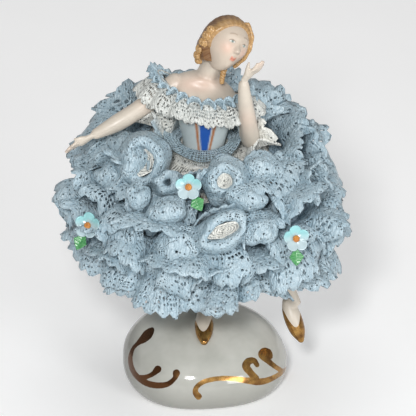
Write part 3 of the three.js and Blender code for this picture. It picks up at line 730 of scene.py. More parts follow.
def round_mouth(middle, axes, angle, across, high, along):
    """Places round the middle of a mouth, at distances across it, up it and out of it."""
    axis, side, up = axes
    return (middle + axis * along[..., None] + side * (across * np.cos(angle))[..., None]
            + up * (high * np.sin(angle))[..., None])


def loop_surfaces(loop, seed):
    """The surfaces of a loop and of its lining."""
    _, mouth, direction, (half_across, half_up), depth, turn, rim, _ = loop
    axes = mouth_axes(direction, turn)
    mouth = np.array(mouth) + LOOP_FORWARD * TO_VIEWER

    def wander(u):
        return LOOP_EDGE_WANDER * ripple(u, 4, seed + 2)

    def surface(u, t):
        angle = TURN * u
        throat = np.minimum(t / LOOP_THROAT, 1)
        rolled = np.clip((t - LOOP_THROAT) / (LOOP_RIM - LOOP_THROAT), 0, 1) * LOOP_ROLL
        wall = np.maximum(t - LOOP_RIM, 0) / (1 - LOOP_RIM)
        thick = rim * (1 + 0.6 * ripple(u, 4, seed + 1) + 0.25 * np.sin(angle))
        uneven = mix(0.7, 1, throat) * (1 + 0.2 * ripple(u, 5, seed))
        outward = LOOP_WALL_SPREAD + 2.0 * ripple(u, 6, seed + 3) - 1.6 * np.sin(angle)
        dents = 0.5 * ripple(u, 15, seed + 4) + 0.8 * crumple(u, t, 9, 4, seed + 6)
        spread = thick * (1 - np.cos(rolled)) + wall * outward + dents * (rolled / LOOP_ROLL)
        along = -depth * (1 - throat) - 0.9 * depth * wall + thick * np.sin(rolled) + wander(u) * throat
        wide, high = half_across * uneven + spread, half_up * uneven + spread
        return round_mouth(mouth, axes, angle, wide, high, along)

    def lining(u, t):
        size = mix(0.06, 0.98, t) * (1 + 0.2 * ripple(u, 5, seed))
        along = wander(u) * t - LINING_DEPTH * (1 - t**3) - LINING_BEHIND_RIM
        along = along + 0.5 * crumple(u, t, 7, 3, seed + 7) * (1 - t)
        twisted = TURN * u + LINING_TWIST * t**2 + 0.25 * crumple(u, t, 5, 3, seed + 8) * (1 - t)
        return round_mouth(mouth, axes, twisted, half_across * size, half_up * size, along)

    return surface, lining


def puff_surface(puff, seed):
    """The middle face of a puffed lobe, from its top down and back over its sides."""
    _, middle, direction, (half_across, half_up), bulge, turn, crease = puff
    axes = mouth_axes(direction, turn)

    def surface(u, t):
        angle = TURN * u
        climb = mix(PUFF_START, PUFF_WRAP, t)
        crumpled = 0.20 * crumple(u, t, 5, 3, seed) + 0.07 * crumple(u, t, 16, 7, seed + 1)
        pinched = PUFF_CREASE * np.maximum(np.cos(angle - math.radians(crease)), 0) ** 8
        size = 1 + (crumpled - pinched) * smooth(t, 0.02, 0.4)
        flare = 0.15 + 0.25 * np.maximum(np.sin(angle), 0) + 0.16 * ripple(u, 9, seed + 2)
        away = np.sin(climb) * size + smooth(t, 0.65, 1) * flare
        along = bulge * np.cos(climb) * size
        return round_mouth(middle, axes, angle, half_across * away, half_up * away, along)

    return surface


# Columns and rows of cells, and the looks of the lace
LOOP_CELLS = (56, 18)
LINING_CELLS = (36, 6)
PUFF_CELLS = (48, 14)
LOOP_LOOK = {**ROUND_LACE, **NO_HOLES, "tooth": 0, "jitter": 0}
LINING_LOOK = {**NET, "thickness": 0.4}
PUFF_LOOK = {**ROUND_LACE, **NO_EYELETS, "open_from": 0.2, "fullness": 0.05, "thinning": 0}


def build_loops(blue, white):
    for number, loop in enumerate(LOOPS, 1):
        seed = 890 + 10 * number
        node = f"skirt_frill_{loop[0] + 1}"
        surface, lining = loop_surfaces(loop, seed)
        add_lace(f"loop_{number}_lace", node, blue, surface, LOOP_CELLS, seed, LOOP_LOOK, (0.3, 1))
        if loop[-1]:
            add_lace(f"loop_{number}_lining", node, white, lining, LINING_CELLS, seed + 5, LINING_LOOK,
                     (0, 0))
    for number, puff in enumerate(PUFFS, 1):
        seed = 1190 + 10 * number
        add_lace(f"puff_{number}_lace", f"skirt_frill_{puff[0] + 1}", blue, puff_surface(puff, seed),
                 PUFF_CELLS, seed, PUFF_LOOK, (0.7, 1))


# The underskirt's fine pleats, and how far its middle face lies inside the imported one
UNDERSKIRT_PLEATS = 34
UNDERSKIRT_PLEAT_DEPTH = 0.45
UNDERSKIRT_INSET = 0.3
UNDERSKIRT_CELLS = (100, 16)
UNDERSKIRT_SEED = 11
UNDERSKIRT_LOOK = {**NET, "thickness": 0.9}


def build_underskirt(white):
    def surface(u, t):
        fall = mix(collar_fall(), HEM_FALL, t)
        angle = TURN * u
        _, _, out = underskirt_frame(angle, fall)
        depth = UNDERSKIRT_PLEAT_DEPTH * smooth(t, 0.02, 0.2)
        pleat = depth * (0.6 * np.sin(UNDERSKIRT_PLEATS * angle + 1.5 * ripple(u, 9, 7)) - 1)
        return underskirt_point(angle, fall) + out * (pleat - UNDERSKIRT_INSET)[..., None]

    add_lace("underskirt_net", "underskirt", white, surface, UNDERSKIRT_CELLS, UNDERSKIRT_SEED,
             UNDERSKIRT_LOOK)


# Frills of the bodice. The oval at the root is lowered in front by dip, behind by back_dip and towards
# the dancer's left by slope. The frill opens outwards and rises or falls, falls further in front and
# behind, where it is also cut shorter, and is wider over the outstretched arm by the share sleeve.
# Centre, half sizes, slope and dips are in percent of the body's height.
LEVEL = {
    "slope": 0, "sleeve": 0, "raised": 0, "front_fall": 0, "front_cut": 0, "back_fall": 0, "back_cut": 0,
    "back_dip": 0,
}
PEPLUM = {
    **LEVEL, "centre": (0, -0.1, 58.8), "half_width": 7.3, "half_depth": 6.5, "dip": 0.5, "spread": 0.85,
    "rise": 0.52, "over_arm": 0.52, "width": 8, "wave": 0.6, "lobes": 7, "sway": 0.3, "front_fall": 1.1,
    "front_cut": 0.42,
}
BERTHA = {
    **LEVEL, "centre": (0, 0.2, 75.4), "half_width": 13.65, "half_depth": 7, "slope": 0.26, "dip": 3.65,
    "spread": 0.75, "rise": -0.66, "over_arm": -0.5, "sleeve": 0.7, "width": 7, "wave": 1.4, "lobes": 17,
    "sway": 0.8, "raised": 3.0, "back_dip": 4.5,
}
NECKLINE = {
    **LEVEL, "centre": (-0.9, 0.2, 77), "half_width": 11.4, "half_depth": 6.5, "slope": 0.26, "dip": 3.5,
    "spread": 0.88, "rise": 0.45, "over_arm": 0.45, "width": 6.2, "wave": 1.9, "lobes": 28, "sway": 1.2,
    "back_fall": 0.5, "back_cut": 0.4, "back_dip": 4.5,
}


def bodice_frill_surface(shape, seed):
    """The middle face of a frill of the bodice, from its root on the body outwards."""
    def surface(u, t):
        angle = TURN * u
        cosine, sine = np.cos(angle), np.sin(angle)
        over_arm = np.maximum(-cosine, 0) ** 2
        ahead, behind = np.maximum(-sine, 0) ** 2, np.maximum(sine, 0) ** 2
        across, deep = shape["half_width"] * cosine, shape["half_depth"] * sine
        sunk = -shape["slope"] * across - shape["dip"] * ahead - shape["back_dip"] * behind
        root = body(*shape["centre"]) + vec(across, deep, sunk) * PERCENT
        steep = mix(shape["rise"], shape["over_arm"], over_arm)
        steep = steep - shape["front_fall"] * ahead - shape["back_fall"] * behind
        reach = shape["width"] * t * (1 + shape["sleeve"] * over_arm) * (1 + 0.08 * ripple(u, 15, seed + 2))
        reach = reach * (1 - shape["front_cut"] * ahead - shape["back_cut"] * behind)
        x = shape["lobes"] * angle + 1.4 * ripple(u, shape["lobes"] // 2, seed)
        size = 1 + 0.35 * ripple(u, shape["lobes"], seed + 1)
        fold = shape["wave"] * size * ruffle(x, 2) * t**1.1
        sway = -shape["sway"] * np.sin(x) * t
        spread = shape["spread"]
        blade = vec(spread * cosine, spread * sine, steep * (0.7 + 0.3 * t)) * reach[..., None]
        wave = vec(-steep * cosine, -steep * sine, spread) * fold[..., None]
        raised = vec(0, 0, shape["raised"] * (1 - t))
        return root + blade + wave + vec(-sine, cosine, 0) * sway[..., None] + raised

    return surface


def build_bodice_frills(blue, white):
    net = {**NET, "thickness": 0.5, "hole": (0.31, 0.37)}
    fine = {
        **ROUND_LACE, "thickness": 0.5, "fullness": 0.3, "thinning": 0.2, "open_from": 0.05, "tooth": -0.05,
    }
    for node, shape, cells, look, material in (
        ("waist_peplum", PEPLUM, (66, 5), net, blue),
        ("bertha", BERTHA, (210, 7), fine, white),
        ("neckline_frill", NECKLINE, (312, 4), {**fine, **NO_HOLES}, blue),
    ):
        seed = len(node)
        surface = bodice_frill_surface(shape, seed)
        add_lace(f"{node}_lace", node, material, surface, cells, seed, look, (0.7, 1))


# Dancer

# Torso rings: x, y, z, half width, half depth, and how steeply the ring falls to the dancer's left
TORSO = [
    [0, 0.8, 45.2, 10.0, 7.9, 0], [0, 0.6, 51.6, 8.0, 6.6, 0], [0, 0.3, 57.1, 6.3, 5.3, 0],
    [0.1, 0, 63.5, 7.5, 6.1, 0.06], [0.2, -1.0, 69.8, 8.9, 7.4, 0.13], [0.3, -0.2, 74.2, 9.7, 6.0, 0.22],
    [0.1, 0.8, 77.2, 8.6, 4.5, 0.26], [0.2, 1.0, 79.6, 4.6, 3.8, 0.2],
]
# Limbs: x, y, z and radius
NECK = [[0.2, 1.2, 76.5, 3.9], [1.2, 1.3, 80.0, 3.5], [3.0, 0.9, 83.6, 3.4], [5.0, 0.4, 87.5, 3.4]]
RIGHT_ARM = [
    [-8.0, 0.9, 77.2, 3.3], [-14.8, -1.4, 73.4, 3.1], [-19.8, -3.8, 70.4, 2.7],
    [-26.2, -6.2, 67.1, 2.6], [-32.5, -7.9, 64.3, 1.6],
]
LEFT_ARM = [
    [9.2, 0.9, 71.2, 3.1], [12.4, -1.6, 66.0, 3.1], [13.9, -5.0, 61.4, 2.8],
    [13.2, -7.4, 68.0, 2.6], [12.2, -9.2, 76.0, 2.2], [11.8, -10.0, 81.7, 1.6],
]
RIGHT_LEG = [
    [-3.8, 0.8, 46.8, 5.6], [-3.0, 0.0, 35.0, 4.7], [-2.0, -0.8, 24.6, 3.4], [-1.3, 1.0, 15.1, 3.4],
    [-0.2, 1.6, 5.2, 1.8], [0, 1.6, 2.2, 1.9],
]
LEFT_LEG = [
    [4.2, 0.8, 46.8, 5.6], [10.2, -1.6, 37.4, 4.6], [15.4, -3.2, 29.2, 3.4], [20.2, -2.8, 21.4, 3.2],
    [26.2, -3.2, 10.4, 1.6], [27.6, -3.5, 6.4, 1.8],
]
# Hands: wrist, knuckles, fingertips, direction across the palm, spread of the fingers, tip of the thumb
RIGHT_HAND = (
    (-33.6, -8.2, 63.8), (-36.6, -8.8, 62.2), (-41.2, -9.4, 59.4),
    (0.4, -0.5, 0.76), 1.4, (-38.6, -10.0, 63.6),
)
LEFT_HAND = (
    (11.9, -10.2, 83.0), (13.6, -10.4, 85.4), (17.6, -10.8, 89.4),
    (-0.45, -0.75, 0.45), 1.2, (13.4, -11.4, 89.2),
)
# Fingers: how far across the palm each starts, and its share of the full length
FINGERS = ((-0.42, 0.8), (-0.14, 1), (0.14, 1), (0.42, 0.78))
FINGER_RADIUS = 0.62 * PERCENT
PALM_FLATNESS = 0.55
PALM_WIDTH = 2.9 * PERCENT
# The standing foot from the heel to the toe: place, half width, and half height over the mound
STANDING_FOOT = [
    (2.6, 1.7, 1.9), (0.6, 2.0, 2.2), (-3.0, 2.4, 2.0), (-6.8, 2.9, 1.6),
    (-10.8, 2.4, 1.2), (-13.4, 1.2, 0.8),
]
STANDING_FLATNESS = 0.72
# How much of its half height the standing foot's middle lies over the mound
STANDING_LIFT = 0.85
# The hanging foot: x, y, z and radius
HANGING_FLATNESS = 0.85
HANGING_FOOT = [
    [25.2, -2.8, 6.5, 1.9], [25.9, -3.0, 4.2, 2.8], [27.1, -4.0, 1.0, 3.2], [28.5, -5.0, -2.6, 2.7],
    [29.5, -5.8, -5.2, 1.2],
]


def percent_rows(rows):
    """Rows of x, y, z and radius in percent, as millimetres."""
    rows = np.array(rows, float)
    return np.concatenate([body(rows[:, 0], rows[:, 1], rows[:, 2]), rows[:, 3:] * PERCENT], axis=1)


# Slopes of the rings that round off a limb's end, in degrees, and how far the end stands out
END_SLOPES = [20, 40, 60, 80]
END_ROUNDNESS = 0.7


def limb_rings(rows, sides=28, samples=8, flatness=1.0, side=None):
    """Rings of a limb through rows of place and radius, with round ends."""
    rows = np.array(rows, float)
    steps = unit(np.diff(rows[:, :3], axis=0))
    if side is None:
        side = (1, 0, 0) if np.abs(steps[:, 2]).mean() > 0.6 else (0, 0, 1)
    path = spline(rows, samples)
    along = unit(np.gradient(path[:, :3], axis=0))
    across = unit(np.cross(side, along))
    up = np.cross(along, across)
    ends = len(END_SLOPES)
    i = np.pad(np.arange(len(path)), ends, mode="edge")
    slope = np.radians([-s for s in END_SLOPES[::-1]] + [0] * len(path) + END_SLOPES)[:, None]
    centre = path[i, :3] + along[i] * path[i, 3:] * END_ROUNDNESS * np.sin(slope)
    radius = (path[i, 3:] * np.cos(slope))[..., None]
    turn = TURN * np.arange(sides)[:, None] / sides
    spoke = np.cos(turn) * across[i, None] + flatness * np.sin(turn) * up[i, None]
    return centre[:, None] + radius * spoke


# The bust: two soft forms on the upper part of the front, in percent
BUST_APART = 4.0
BUST_HEIGHT = 70.5
BUST_SIZE = (3.0, 3.2)
# This one in millimetres
BUST_DEPTH = 0.5


def torso_rings(sides=64):
    rows = spline([[0, 0.8, 42.6, 7.0, 5.5, 0], *TORSO, [0.4, 1.1, 80.4, 2.0, 1.8, 0.1]], 8)
    turn = TURN * np.arange(sides) / sides
    across = rows[:, 3:4] * np.cos(turn) * PERCENT
    deep = rows[:, 4:5] * np.sin(turn) * PERCENT
    for side in (-1, 1):
        form = spot(across / PERCENT, rows[:, 2:3], (side * BUST_APART, BUST_HEIGHT), BUST_SIZE)
        deep = deep - BUST_DEPTH * form * (np.sin(turn) < 0)
    middle = body(rows[:, 0], rows[:, 1], rows[:, 2])
    return middle[:, None] + vec(across, deep, -rows[:, 5:6] * across)


def hand_rings(wrist, knuckles, tips, fan, spread, thumb):
    """The rings of a palm, of four fingers and of a thumb."""
    wrist, knuckles, tips, thumb = (body(*place) for place in (wrist, knuckles, tips, thumb))
    fan = np.array(fan)
    reach = tips - knuckles
    side = np.cross(unit(reach), unit(fan))

    def finger(root, bend, tip, *thickness):
        rows = [[*place, FINGER_RADIUS * share] for place, share in zip((root, bend, tip), thickness)]
        return limb_rings(rows, 14, 6, side=side)

    palm = zip((wrist, (wrist + knuckles) / 2, knuckles), (1.35, 1.75, 2.0))
    palm = [[*place, radius * PERCENT] for place, radius in palm]
    yield limb_rings(palm, 24, 6, PALM_FLATNESS, side)
    for share, length in FINGERS:
        root = knuckles + fan * share * PALM_WIDTH
        tip = root + reach * length + fan * share * spread * PERCENT
        yield finger(root, mix(root, tip, 0.5) + side * 0.5 * PERCENT, tip, 1, 0.95, 0.7)
    root = mix(wrist, knuckles, 0.45) + fan * 0.6 * PERCENT
    yield finger(root, mix(root, thumb, 0.5) + fan * 0.3 * PERCENT, thumb, 1.2, 1.05, 0.8)


def fused(piece, voxel_mm, rounds):
    """The piece's shells joined into one smooth skin."""
    remesh = piece.modifiers.new("fuse", "REMESH")
    remesh.mode = "VOXEL"
    remesh.voxel_size = voxel_mm * MM
    smoothing = piece.modifiers.new("smooth", "SMOOTH")
    smoothing.factor = 0.5
    smoothing.iterations = rounds
    bpy.context.view_layer.update()
    ready = piece.evaluated_get(bpy.context.evaluated_depsgraph_get())
    mesh = bpy.data.meshes.new_from_object(ready)
    piece.modifiers.clear()
    piece.data = mesh
    piece.data.shade_smooth()
    place = np.empty(3 * len(mesh.vertices), np.float32)
    mesh.vertices.foreach_get("co", place)
    return place.reshape(-1, 3).astype(float) / MM


SKIN = np.array([0.575, 0.515, 0.435])
BLUSH = np.array([0.70, 0.46, 0.36])
BODICE = np.array([0.54, 0.61, 0.62])
ROYAL_BLUE = np.array([0.018, 0.10, 0.42])
ORANGE = np.array([0.42, 0.17, 0.07])
PETAL_BLUE = np.array([0.28, 0.58, 0.60])
PETAL_PALE = np.array([0.46, 0.58, 0.62])


def painted(base, layers):
    """Colours from a base and layers of (share of cover, colour)."""
    colours = np.broadcast_to(base, (*np.shape(layers[0][0]), 3)).copy()
    for cover, colour in layers:
        colours = mix(colours, colour, cover[..., None])
    return colours


def spot(across, up, place, size):
    """1 at a place and soft to 0 at about its size."""
    return np.exp(-(((across - place[0]) / size[0]) ** 2) - ((up - place[1]) / size[1]) ** 2)


# Heights of the bodice's painted front in the plane that faces the viewer, its stripes (left edge at
# the top and at the bottom, right edge at the top and at the bottom, colour), and their soft edge
PANEL_TOP = 99.2
PANEL_BOTTOM = 89.0
STRIPES = [
    (-1.9, -1.2, 3.4, 1.5, ROYAL_BLUE), (-3.6, -2.5, -2.5, -1.7, ORANGE), (4.0, 1.9, 5.2, 2.7, ORANGE),
]
STRIPE_EDGE = 0.25
# The painted bodice: the height of its upper edge in percent and how steeply that falls to the
# dancer's left, and its middle and half width in millimetres
NECKLINE_HEIGHT = 72.5
NECKLINE_SLOPE = 0.26
BODICE_MIDDLE = 0.5
BODICE_HALF_WIDTH = 12.8
# Where the skin is warmer: the left elbow, the right upper arm and both hands, and the chest
BLUSHES = ((16, 99), (-20, 106), (21.5, 121), (-53, 87))
CHEST = (-2.5, 112.5)


def figure_colours(points):
    across, up = picture_place(points)
    front = points[:, 1] < 1
    height = (points[:, 2] - MOUND_HEIGHT) / PERCENT
    neckline = NECKLINE_HEIGHT - NECKLINE_SLOPE * points[:, 0] / PERCENT
    trunk = np.abs(points[:, 0] - BODICE_MIDDLE) < BODICE_HALF_WIDTH
    share = (PANEL_TOP - up) / (PANEL_TOP - PANEL_BOTTOM)
    inside = front & (share > -0.05) & (share < 1.3)
    layers = [(0.28 * spot(across, up, place, (5, 4)), BLUSH) for place in BLUSHES]
    layers.append((0.55 * spot(across, up, CHEST, (9, 3.5)) * front, BLUSH))
    layers.append(((1 - smooth(height, neckline - 0.5, neckline + 0.5)) * trunk, BODICE))
    for left_top, left_bottom, right_top, right_bottom, colour in STRIPES:
        left, right = mix(left_top, left_bottom, share), mix(right_top, right_bottom, share)
        stripe = smooth(across, left - STRIPE_EDGE, left + STRIPE_EDGE)
        stripe = stripe * (1 - smooth(across, right - STRIPE_EDGE, right + STRIPE_EDGE))
        layers.append((stripe * inside, colour))
    return painted(SKIN, layers)


def build_figure(skin):
    shell = Assembly()
    shell.add_rings(torso_rings())
    for limb, sides in ((NECK, 40), (RIGHT_ARM, 32), (LEFT_ARM, 32)):
        shell.add_rings(limb_rings(percent_rows(limb), sides))
    for hand in (RIGHT_HAND, LEFT_HAND):
        for rings in hand_rings(*hand):
            shell.add_rings(rings)
    piece = shell.build("dancer_body")
    points = fused(piece, 0.5, 4)
    set_colours(piece, figure_colours(points), {"gold": np.full(len(points), NO_GOLD)})
    finish_piece(piece, "dancer", "painted_skin", skin)


def slipper_gold(points):
    """How far inside the slippers' gold a place is: they are open over the instep."""
    across, up = picture_place(points)
    heel = MOUND_HEIGHT + 4.2 * PERCENT - points[:, 2]
    toe = 19.0 + 2.6 * ((across + 0.3) / 2.3) ** 2 - up
    toe = np.maximum(np.minimum(toe, 24.5 - up), -9)
    standing = np.where(points[:, 1] < -1, toe, heel)
    hanging = 20.5 + 2.8 * ((across - 35.2 + 0.25 * (up - 20)) / 2.1) ** 2 - up
    return np.where(across > 15, np.minimum(hanging, 30.5 - up), standing)


def build_legs(skin):
    shell = Assembly()
    for leg in (RIGHT_LEG, LEFT_LEG):
        shell.add_rings(limb_rings(percent_rows(leg), 32))
    standing = []
    for back, half_width, half_height in STANDING_FOOT:
        y = back * PERCENT
        height = mound_top(0, y) + half_height * PERCENT * STANDING_LIFT
        standing.append([0, y, height, half_width * PERCENT])
    shell.add_rings(limb_rings(standing, 32, 6, STANDING_FLATNESS))
    shell.add_rings(limb_rings(percent_rows(HANGING_FOOT), 32, 6, HANGING_FLATNESS))
    piece = shell.build("dancer_legs")
    points = fused(piece, 0.6, 3)
    set_colours(piece, np.tile(SKIN, (len(points), 1)), {"gold": slipper_gold(points)})
    finish_piece(piece, "dancer", "painted_skin", skin)


# Head

HEAD_CENTRE = body(6.5, -0.8, 90.6)
HEAD_RADII = np.array([6.7, 7.2, 8.2]) * PERCENT
HEAD_TURN = np.array((
    Matrix.Rotation(math.radians(33), 3, "Y") @ Matrix.Rotation(math.radians(20), 3, "Z")
    @ Matrix.Rotation(math.radians(-33), 3, "X")
))


def on_head(x, y, z):
    """A place on the head: x to the dancer's left, y to the back, z to the crown, in shares of the skull."""
    return (vec(x, y, z) * HEAD_RADII) @ HEAD_TURN.T + HEAD_CENTRE


# Forms of the face on both its sides or in its middle, in shares of the skull: how far each stands
# out, its place across and half width, its height and half height
FACE_FORMS = [
    (0.03, 0.12, 0.06, -0.25, 0.06),  # nostrils
    (0.03, 0, 0.7, 0.28, 0.12),  # brow
    (-0.03, 0.33, 0.17, 0.07, 0.13),  # eye sockets
    (0.02, 0.35, 0.13, 0.05, 0.075),  # eyes
    (0.045, 0, 0.17, -0.475, 0.04),  # upper lip
    (0.05, 0, 0.14, -0.56, 0.045),  # lower lip
    (0.03, 0, 0.28, -0.5, 0.16),  # muzzle
    (0.03, 0.46, 0.25, -0.28, 0.22),  # cheeks
    (0.06, 0, 0.24, -0.8, 0.15),  # chin
]


def face_relief(x, y, z):
    """How far the skull's surface stands out, with the plain proportions of a doll's face."""
    down = smooth(-z, -0.05, 0.22)
    ridge = smooth(-z, -0.16, 0.22) * (1 - smooth(-z, 0.24, 0.36))
    relief = (0.05 + 0.13 * down) * bell(x, 0, 0.085 + 0.05 * smooth(-z, 0.05, 0.22)) * ridge
    for size, across, half_width, up, half_height in FACE_FORMS:
        relief = relief + size * bell(np.abs(x), across, half_width) * bell(z, up, half_height)
    return 1 + smooth(-y, 0.15, 0.75) * relief


def sphere_directions(columns, rows, crowding):
    """Unit directions, closer together in front, without the two poles."""
    u = TURN * np.arange(columns) / columns
    angle = u - crowding * np.sin(u) - TURN / 4
    climb = (np.linspace(0, 1, rows + 2)[1:-1, None] - 0.5) * math.pi
    return np.cos(climb) * np.cos(angle), np.cos(climb) * np.sin(angle), np.sin(climb) + 0 * angle


# Columns, rows and how much closer together the columns are in front
HEAD_GRID = (172, 118, 0.5)
CAP_GRID = (164, 92, 0.35)
HAIR_LIGHT = np.array([0.50, 0.31, 0.13])
HAIR_DARK = np.array([0.15, 0.065, 0.022])
BROWN = np.array([0.20, 0.12, 0.07])
EYE_GREY = np.array([0.16, 0.22, 0.20])
LIP = np.array([0.58, 0.20, 0.13])
FACE_TINT = np.array([0.95, 0.90, 0.87])
WHITE = np.array([0.72, 0.74, 0.70])
EYE_ACROSS = 0.35


def face_colours(x, y, z):
    ax = np.abs(x)
    from_eye = np.abs(ax - EYE_ACROSS)
    cheek = 0.7 * bell(ax, 0.47, 0.26) * bell(z, -0.22, 0.22)
    brow_line = z - (0.34 - 1.1 * (ax - 0.32) ** 2)
    brows = 0.55 * bell(brow_line, 0, 0.022) * (1 - smooth(from_eye, 0.14, 0.2))
    upper_lid, lower_lid = 0.11 - 2.6 * from_eye**2, 0.005 + 1.6 * from_eye**2
    width = 1 - smooth(from_eye, 0.12, 0.165)
    white = smooth(z, lower_lid - 0.015, lower_lid + 0.015)
    white = white * (1 - smooth(z, upper_lid - 0.015, upper_lid + 0.015)) * width
    iris = white * (1 - smooth(np.hypot(ax - 0.34, z - 0.05), 0.045, 0.062))
    lash = 0.9 * bell(z, upper_lid, 0.02) * width
    under = 0.35 * bell(z, lower_lid, 0.014) * width
    bow = 0.015 * np.cos(ax * 22)
    lips = (1 - smooth(ax, 0.13, 0.19)) * smooth(z, -0.60, -0.565)
    lips = lips * (1 - smooth(z, -0.47 - bow, -0.44 - bow))
    parting = 0.6 * bell(z, -0.518, 0.012) * (1 - smooth(ax, 0.12, 0.17))
    layers = [(cheek, BLUSH), (brows, BROWN), (white, WHITE), (iris, EYE_GREY), (lash, BROWN),
              (under, BROWN), (0.9 * lips, LIP), (parting, LIP * 0.5)]
    return painted(SKIN * FACE_TINT, [(cover * (y < 0), colour) for cover, colour in layers])


def build_head(skin):
    x, y, z = sphere_directions(*HEAD_GRID)
    jaw = 0.95 - 0.30 * smooth(-z, 0.0, 0.9)
    relief = face_relief(x, y, z)
    rings = on_head(x * jaw * relief, y * relief, z * relief)
    add_shell("dancer_head", "dancer", "painted_skin", skin, rings, face_colours(x, y, z))


# Rolled curls from the right temple to the neck: place and size
CURLS = [
    (2.4, -5.2, 149.0, 1.5), (0.9, -5.0, 146.6, 1.7), (-0.4, -4.8, 143.6, 1.8),
    (-1.6, -4.2, 140.6, 1.9), (-2.5, -3.4, 137.6, 1.8), (-2.3, -2.0, 134.9, 1.5),
]
CURL_TURNS = 1.6
CURL_POINTS = 48
LOCK_SIDES = 10
# The locks down the left cheek lie side by side, and the strands of the ringlet under the chin twist
SIDE_LOCKS = (0, 0.9, 1.8)
RINGLET = [body(6.4, -1.6, 85.0), body(5.9, -3.6, 83.2), body(5.4, -4.4, 80.9), body(5.3, -4.7, 79.6)]
RINGLET_POINTS = 60
RINGLET_STRANDS = 3
RINGLET_TURNS = 3


def add_cap(shell):
    """The combed hair over the skull, which leaves the face free."""
    x, y, z = sphere_directions(*CAP_GRID)
    # Distance from the middle of the face, 1 on the hairline
    window = np.hypot(x / np.where(x < 0, 0.90, 0.84), (z + 0.20) / 0.76)
    bare = np.where(y < 0, smooth(window, 0.98, 1.14), 1)
    turn = np.arctan2(x, z + 0.1)
    back = np.arccos(np.clip(-y, -1, 1))
    strands = 0.005 * np.sin(26 * turn + 5.0 * np.sin(2.3 * back)) + 0.005 * np.sin(61 * turn + 7 * back)
    waves = 0.018 * np.sin(7.5 * back + 2.2 * np.cos(2 * turn)) * smooth(back, 0.5, 1.2)
    sides = 0.05 * x**2 * (1 - np.abs(z)) + 0.15 * smooth(-x, 0.1, 0.7) * smooth(-z, -0.1, 0.4)
    size = mix(0.82, 1.07 * (1 + sides) + strands + waves - 0.03 * smooth(z, 0.7, 1), bare)
    narrow = np.where(z < -0.4, 0.92, 1)
    lowest = -0.66 - 0.05 * np.cos(5 * turn) - 0.16 * smooth(-x, 0.1, 0.6)
    rings = on_head(x * size * narrow + 0.05 * smooth(z, 0, 0.8), y * size + 0.04,
                    np.maximum(z * size, lowest) + 0.04)
    tone = np.clip(0.5 + 25 * (strands + 0.3 * waves), 0, 1)
    crown = 0.15 * smooth(z, 0.6, 1.0) + 0.6 * smooth(y, -0.45, 0.2)
    shell.add_rings(rings, painted(HAIR_LIGHT, [((0.75 * (1 - tone) + crown).clip(0, 1), HAIR_DARK)]))


def add_lock(shell, path, radius):
    """A grooved lock of hair along a path."""
    rows = np.concatenate([path, radius[:, None]], axis=1)
    rings = limb_rings(rows, LOCK_SIDES, 1, side=(0.3, 0.9, 0.2))
    groove = np.arange(len(rings))[:, None] + np.arange(LOCK_SIDES)
    tone = np.broadcast_to((0.3 + 0.3 * np.sin(groove * 1.7))[..., None], rings.shape)
    shell.add_rings(rings, mix(HAIR_LIGHT * 1.15, HAIR_DARK, tone))


def build_hair(material):
    shell = Assembly()
    add_cap(shell)
    for *centre, size in CURLS:
        outward = unit(unit(centre - HEAD_CENTRE) + np.array([0, -0.8, 0.3]))
        first = unit(np.cross(outward, [0, 0.3, 1]))
        second = np.cross(outward, first)
        s = np.linspace(0, CURL_TURNS * TURN, CURL_POINTS)[:, None]
        wide = size * (0.85 - 0.5 * s / s[-1])
        path = centre + wide * (np.cos(s) * first + np.sin(s) * second) + outward * (1.3 * s / s[-1] - 0.7)
        add_lock(shell, path, np.full(len(path), 0.42 * size))
    for aside in SIDE_LOCKS:
        line = spline([[16.4 - aside, 1.4, 148.4], [18.0 - aside, 0.2, 144.0], [17.2 - aside, -1.0, 139.2],
                       [14.9 - aside, -1.4, 135.2], [11.4 - aside / 2, -1.6, 132.2 + aside]], 10)
        add_lock(shell, line, 0.75 + 0.12 * np.sin(0.7 * np.arange(len(line)) + aside))
    s = np.linspace(0, 1, RINGLET_POINTS)
    for strand in range(RINGLET_STRANDS):
        twist = RINGLET_TURNS * TURN * s + TURN * strand / RINGLET_STRANDS
        round_it = (1 - 0.45 * s[:, None]) * 0.75 * vec(np.cos(twist), np.sin(twist), 0)
        add_lock(shell, spline(RINGLET, 20)[:RINGLET_POINTS] + round_it, 0.7 * (1 - 0.35 * s))
    finish_piece(shell.build("dancer_hair", painted=True), "dancer", "painted_skin", material)


# Blossoms

# Name, row of frills, angle round the skirt in degrees, share of the frill's width, turn of the leaf in
# degrees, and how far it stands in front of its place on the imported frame
BLOSSOMS = [
    ("front", 0, -99, 0.9, -60, 3.3), ("right_hand", 3, -144, 0.67, -108, 2.5),
    ("left_hand", 3, -49, 0.62, -94, 1.5),
]
PETALS = 5
PETAL_THICKNESS = 0.8
LEAF_THICKNESS = 0.7
# Columns and rows of their meshes
PETAL_GRID = (100, 12)
LEAF_GRID = (72, 10)
BEAD_GRID = (36, 20, 0)
PETAL_START = math.radians(90)
# How far the bead lies in front of a blossom's middle, and the leaf behind it
BEAD_FORWARD = 0.9
LEAF_BACK = 0.9


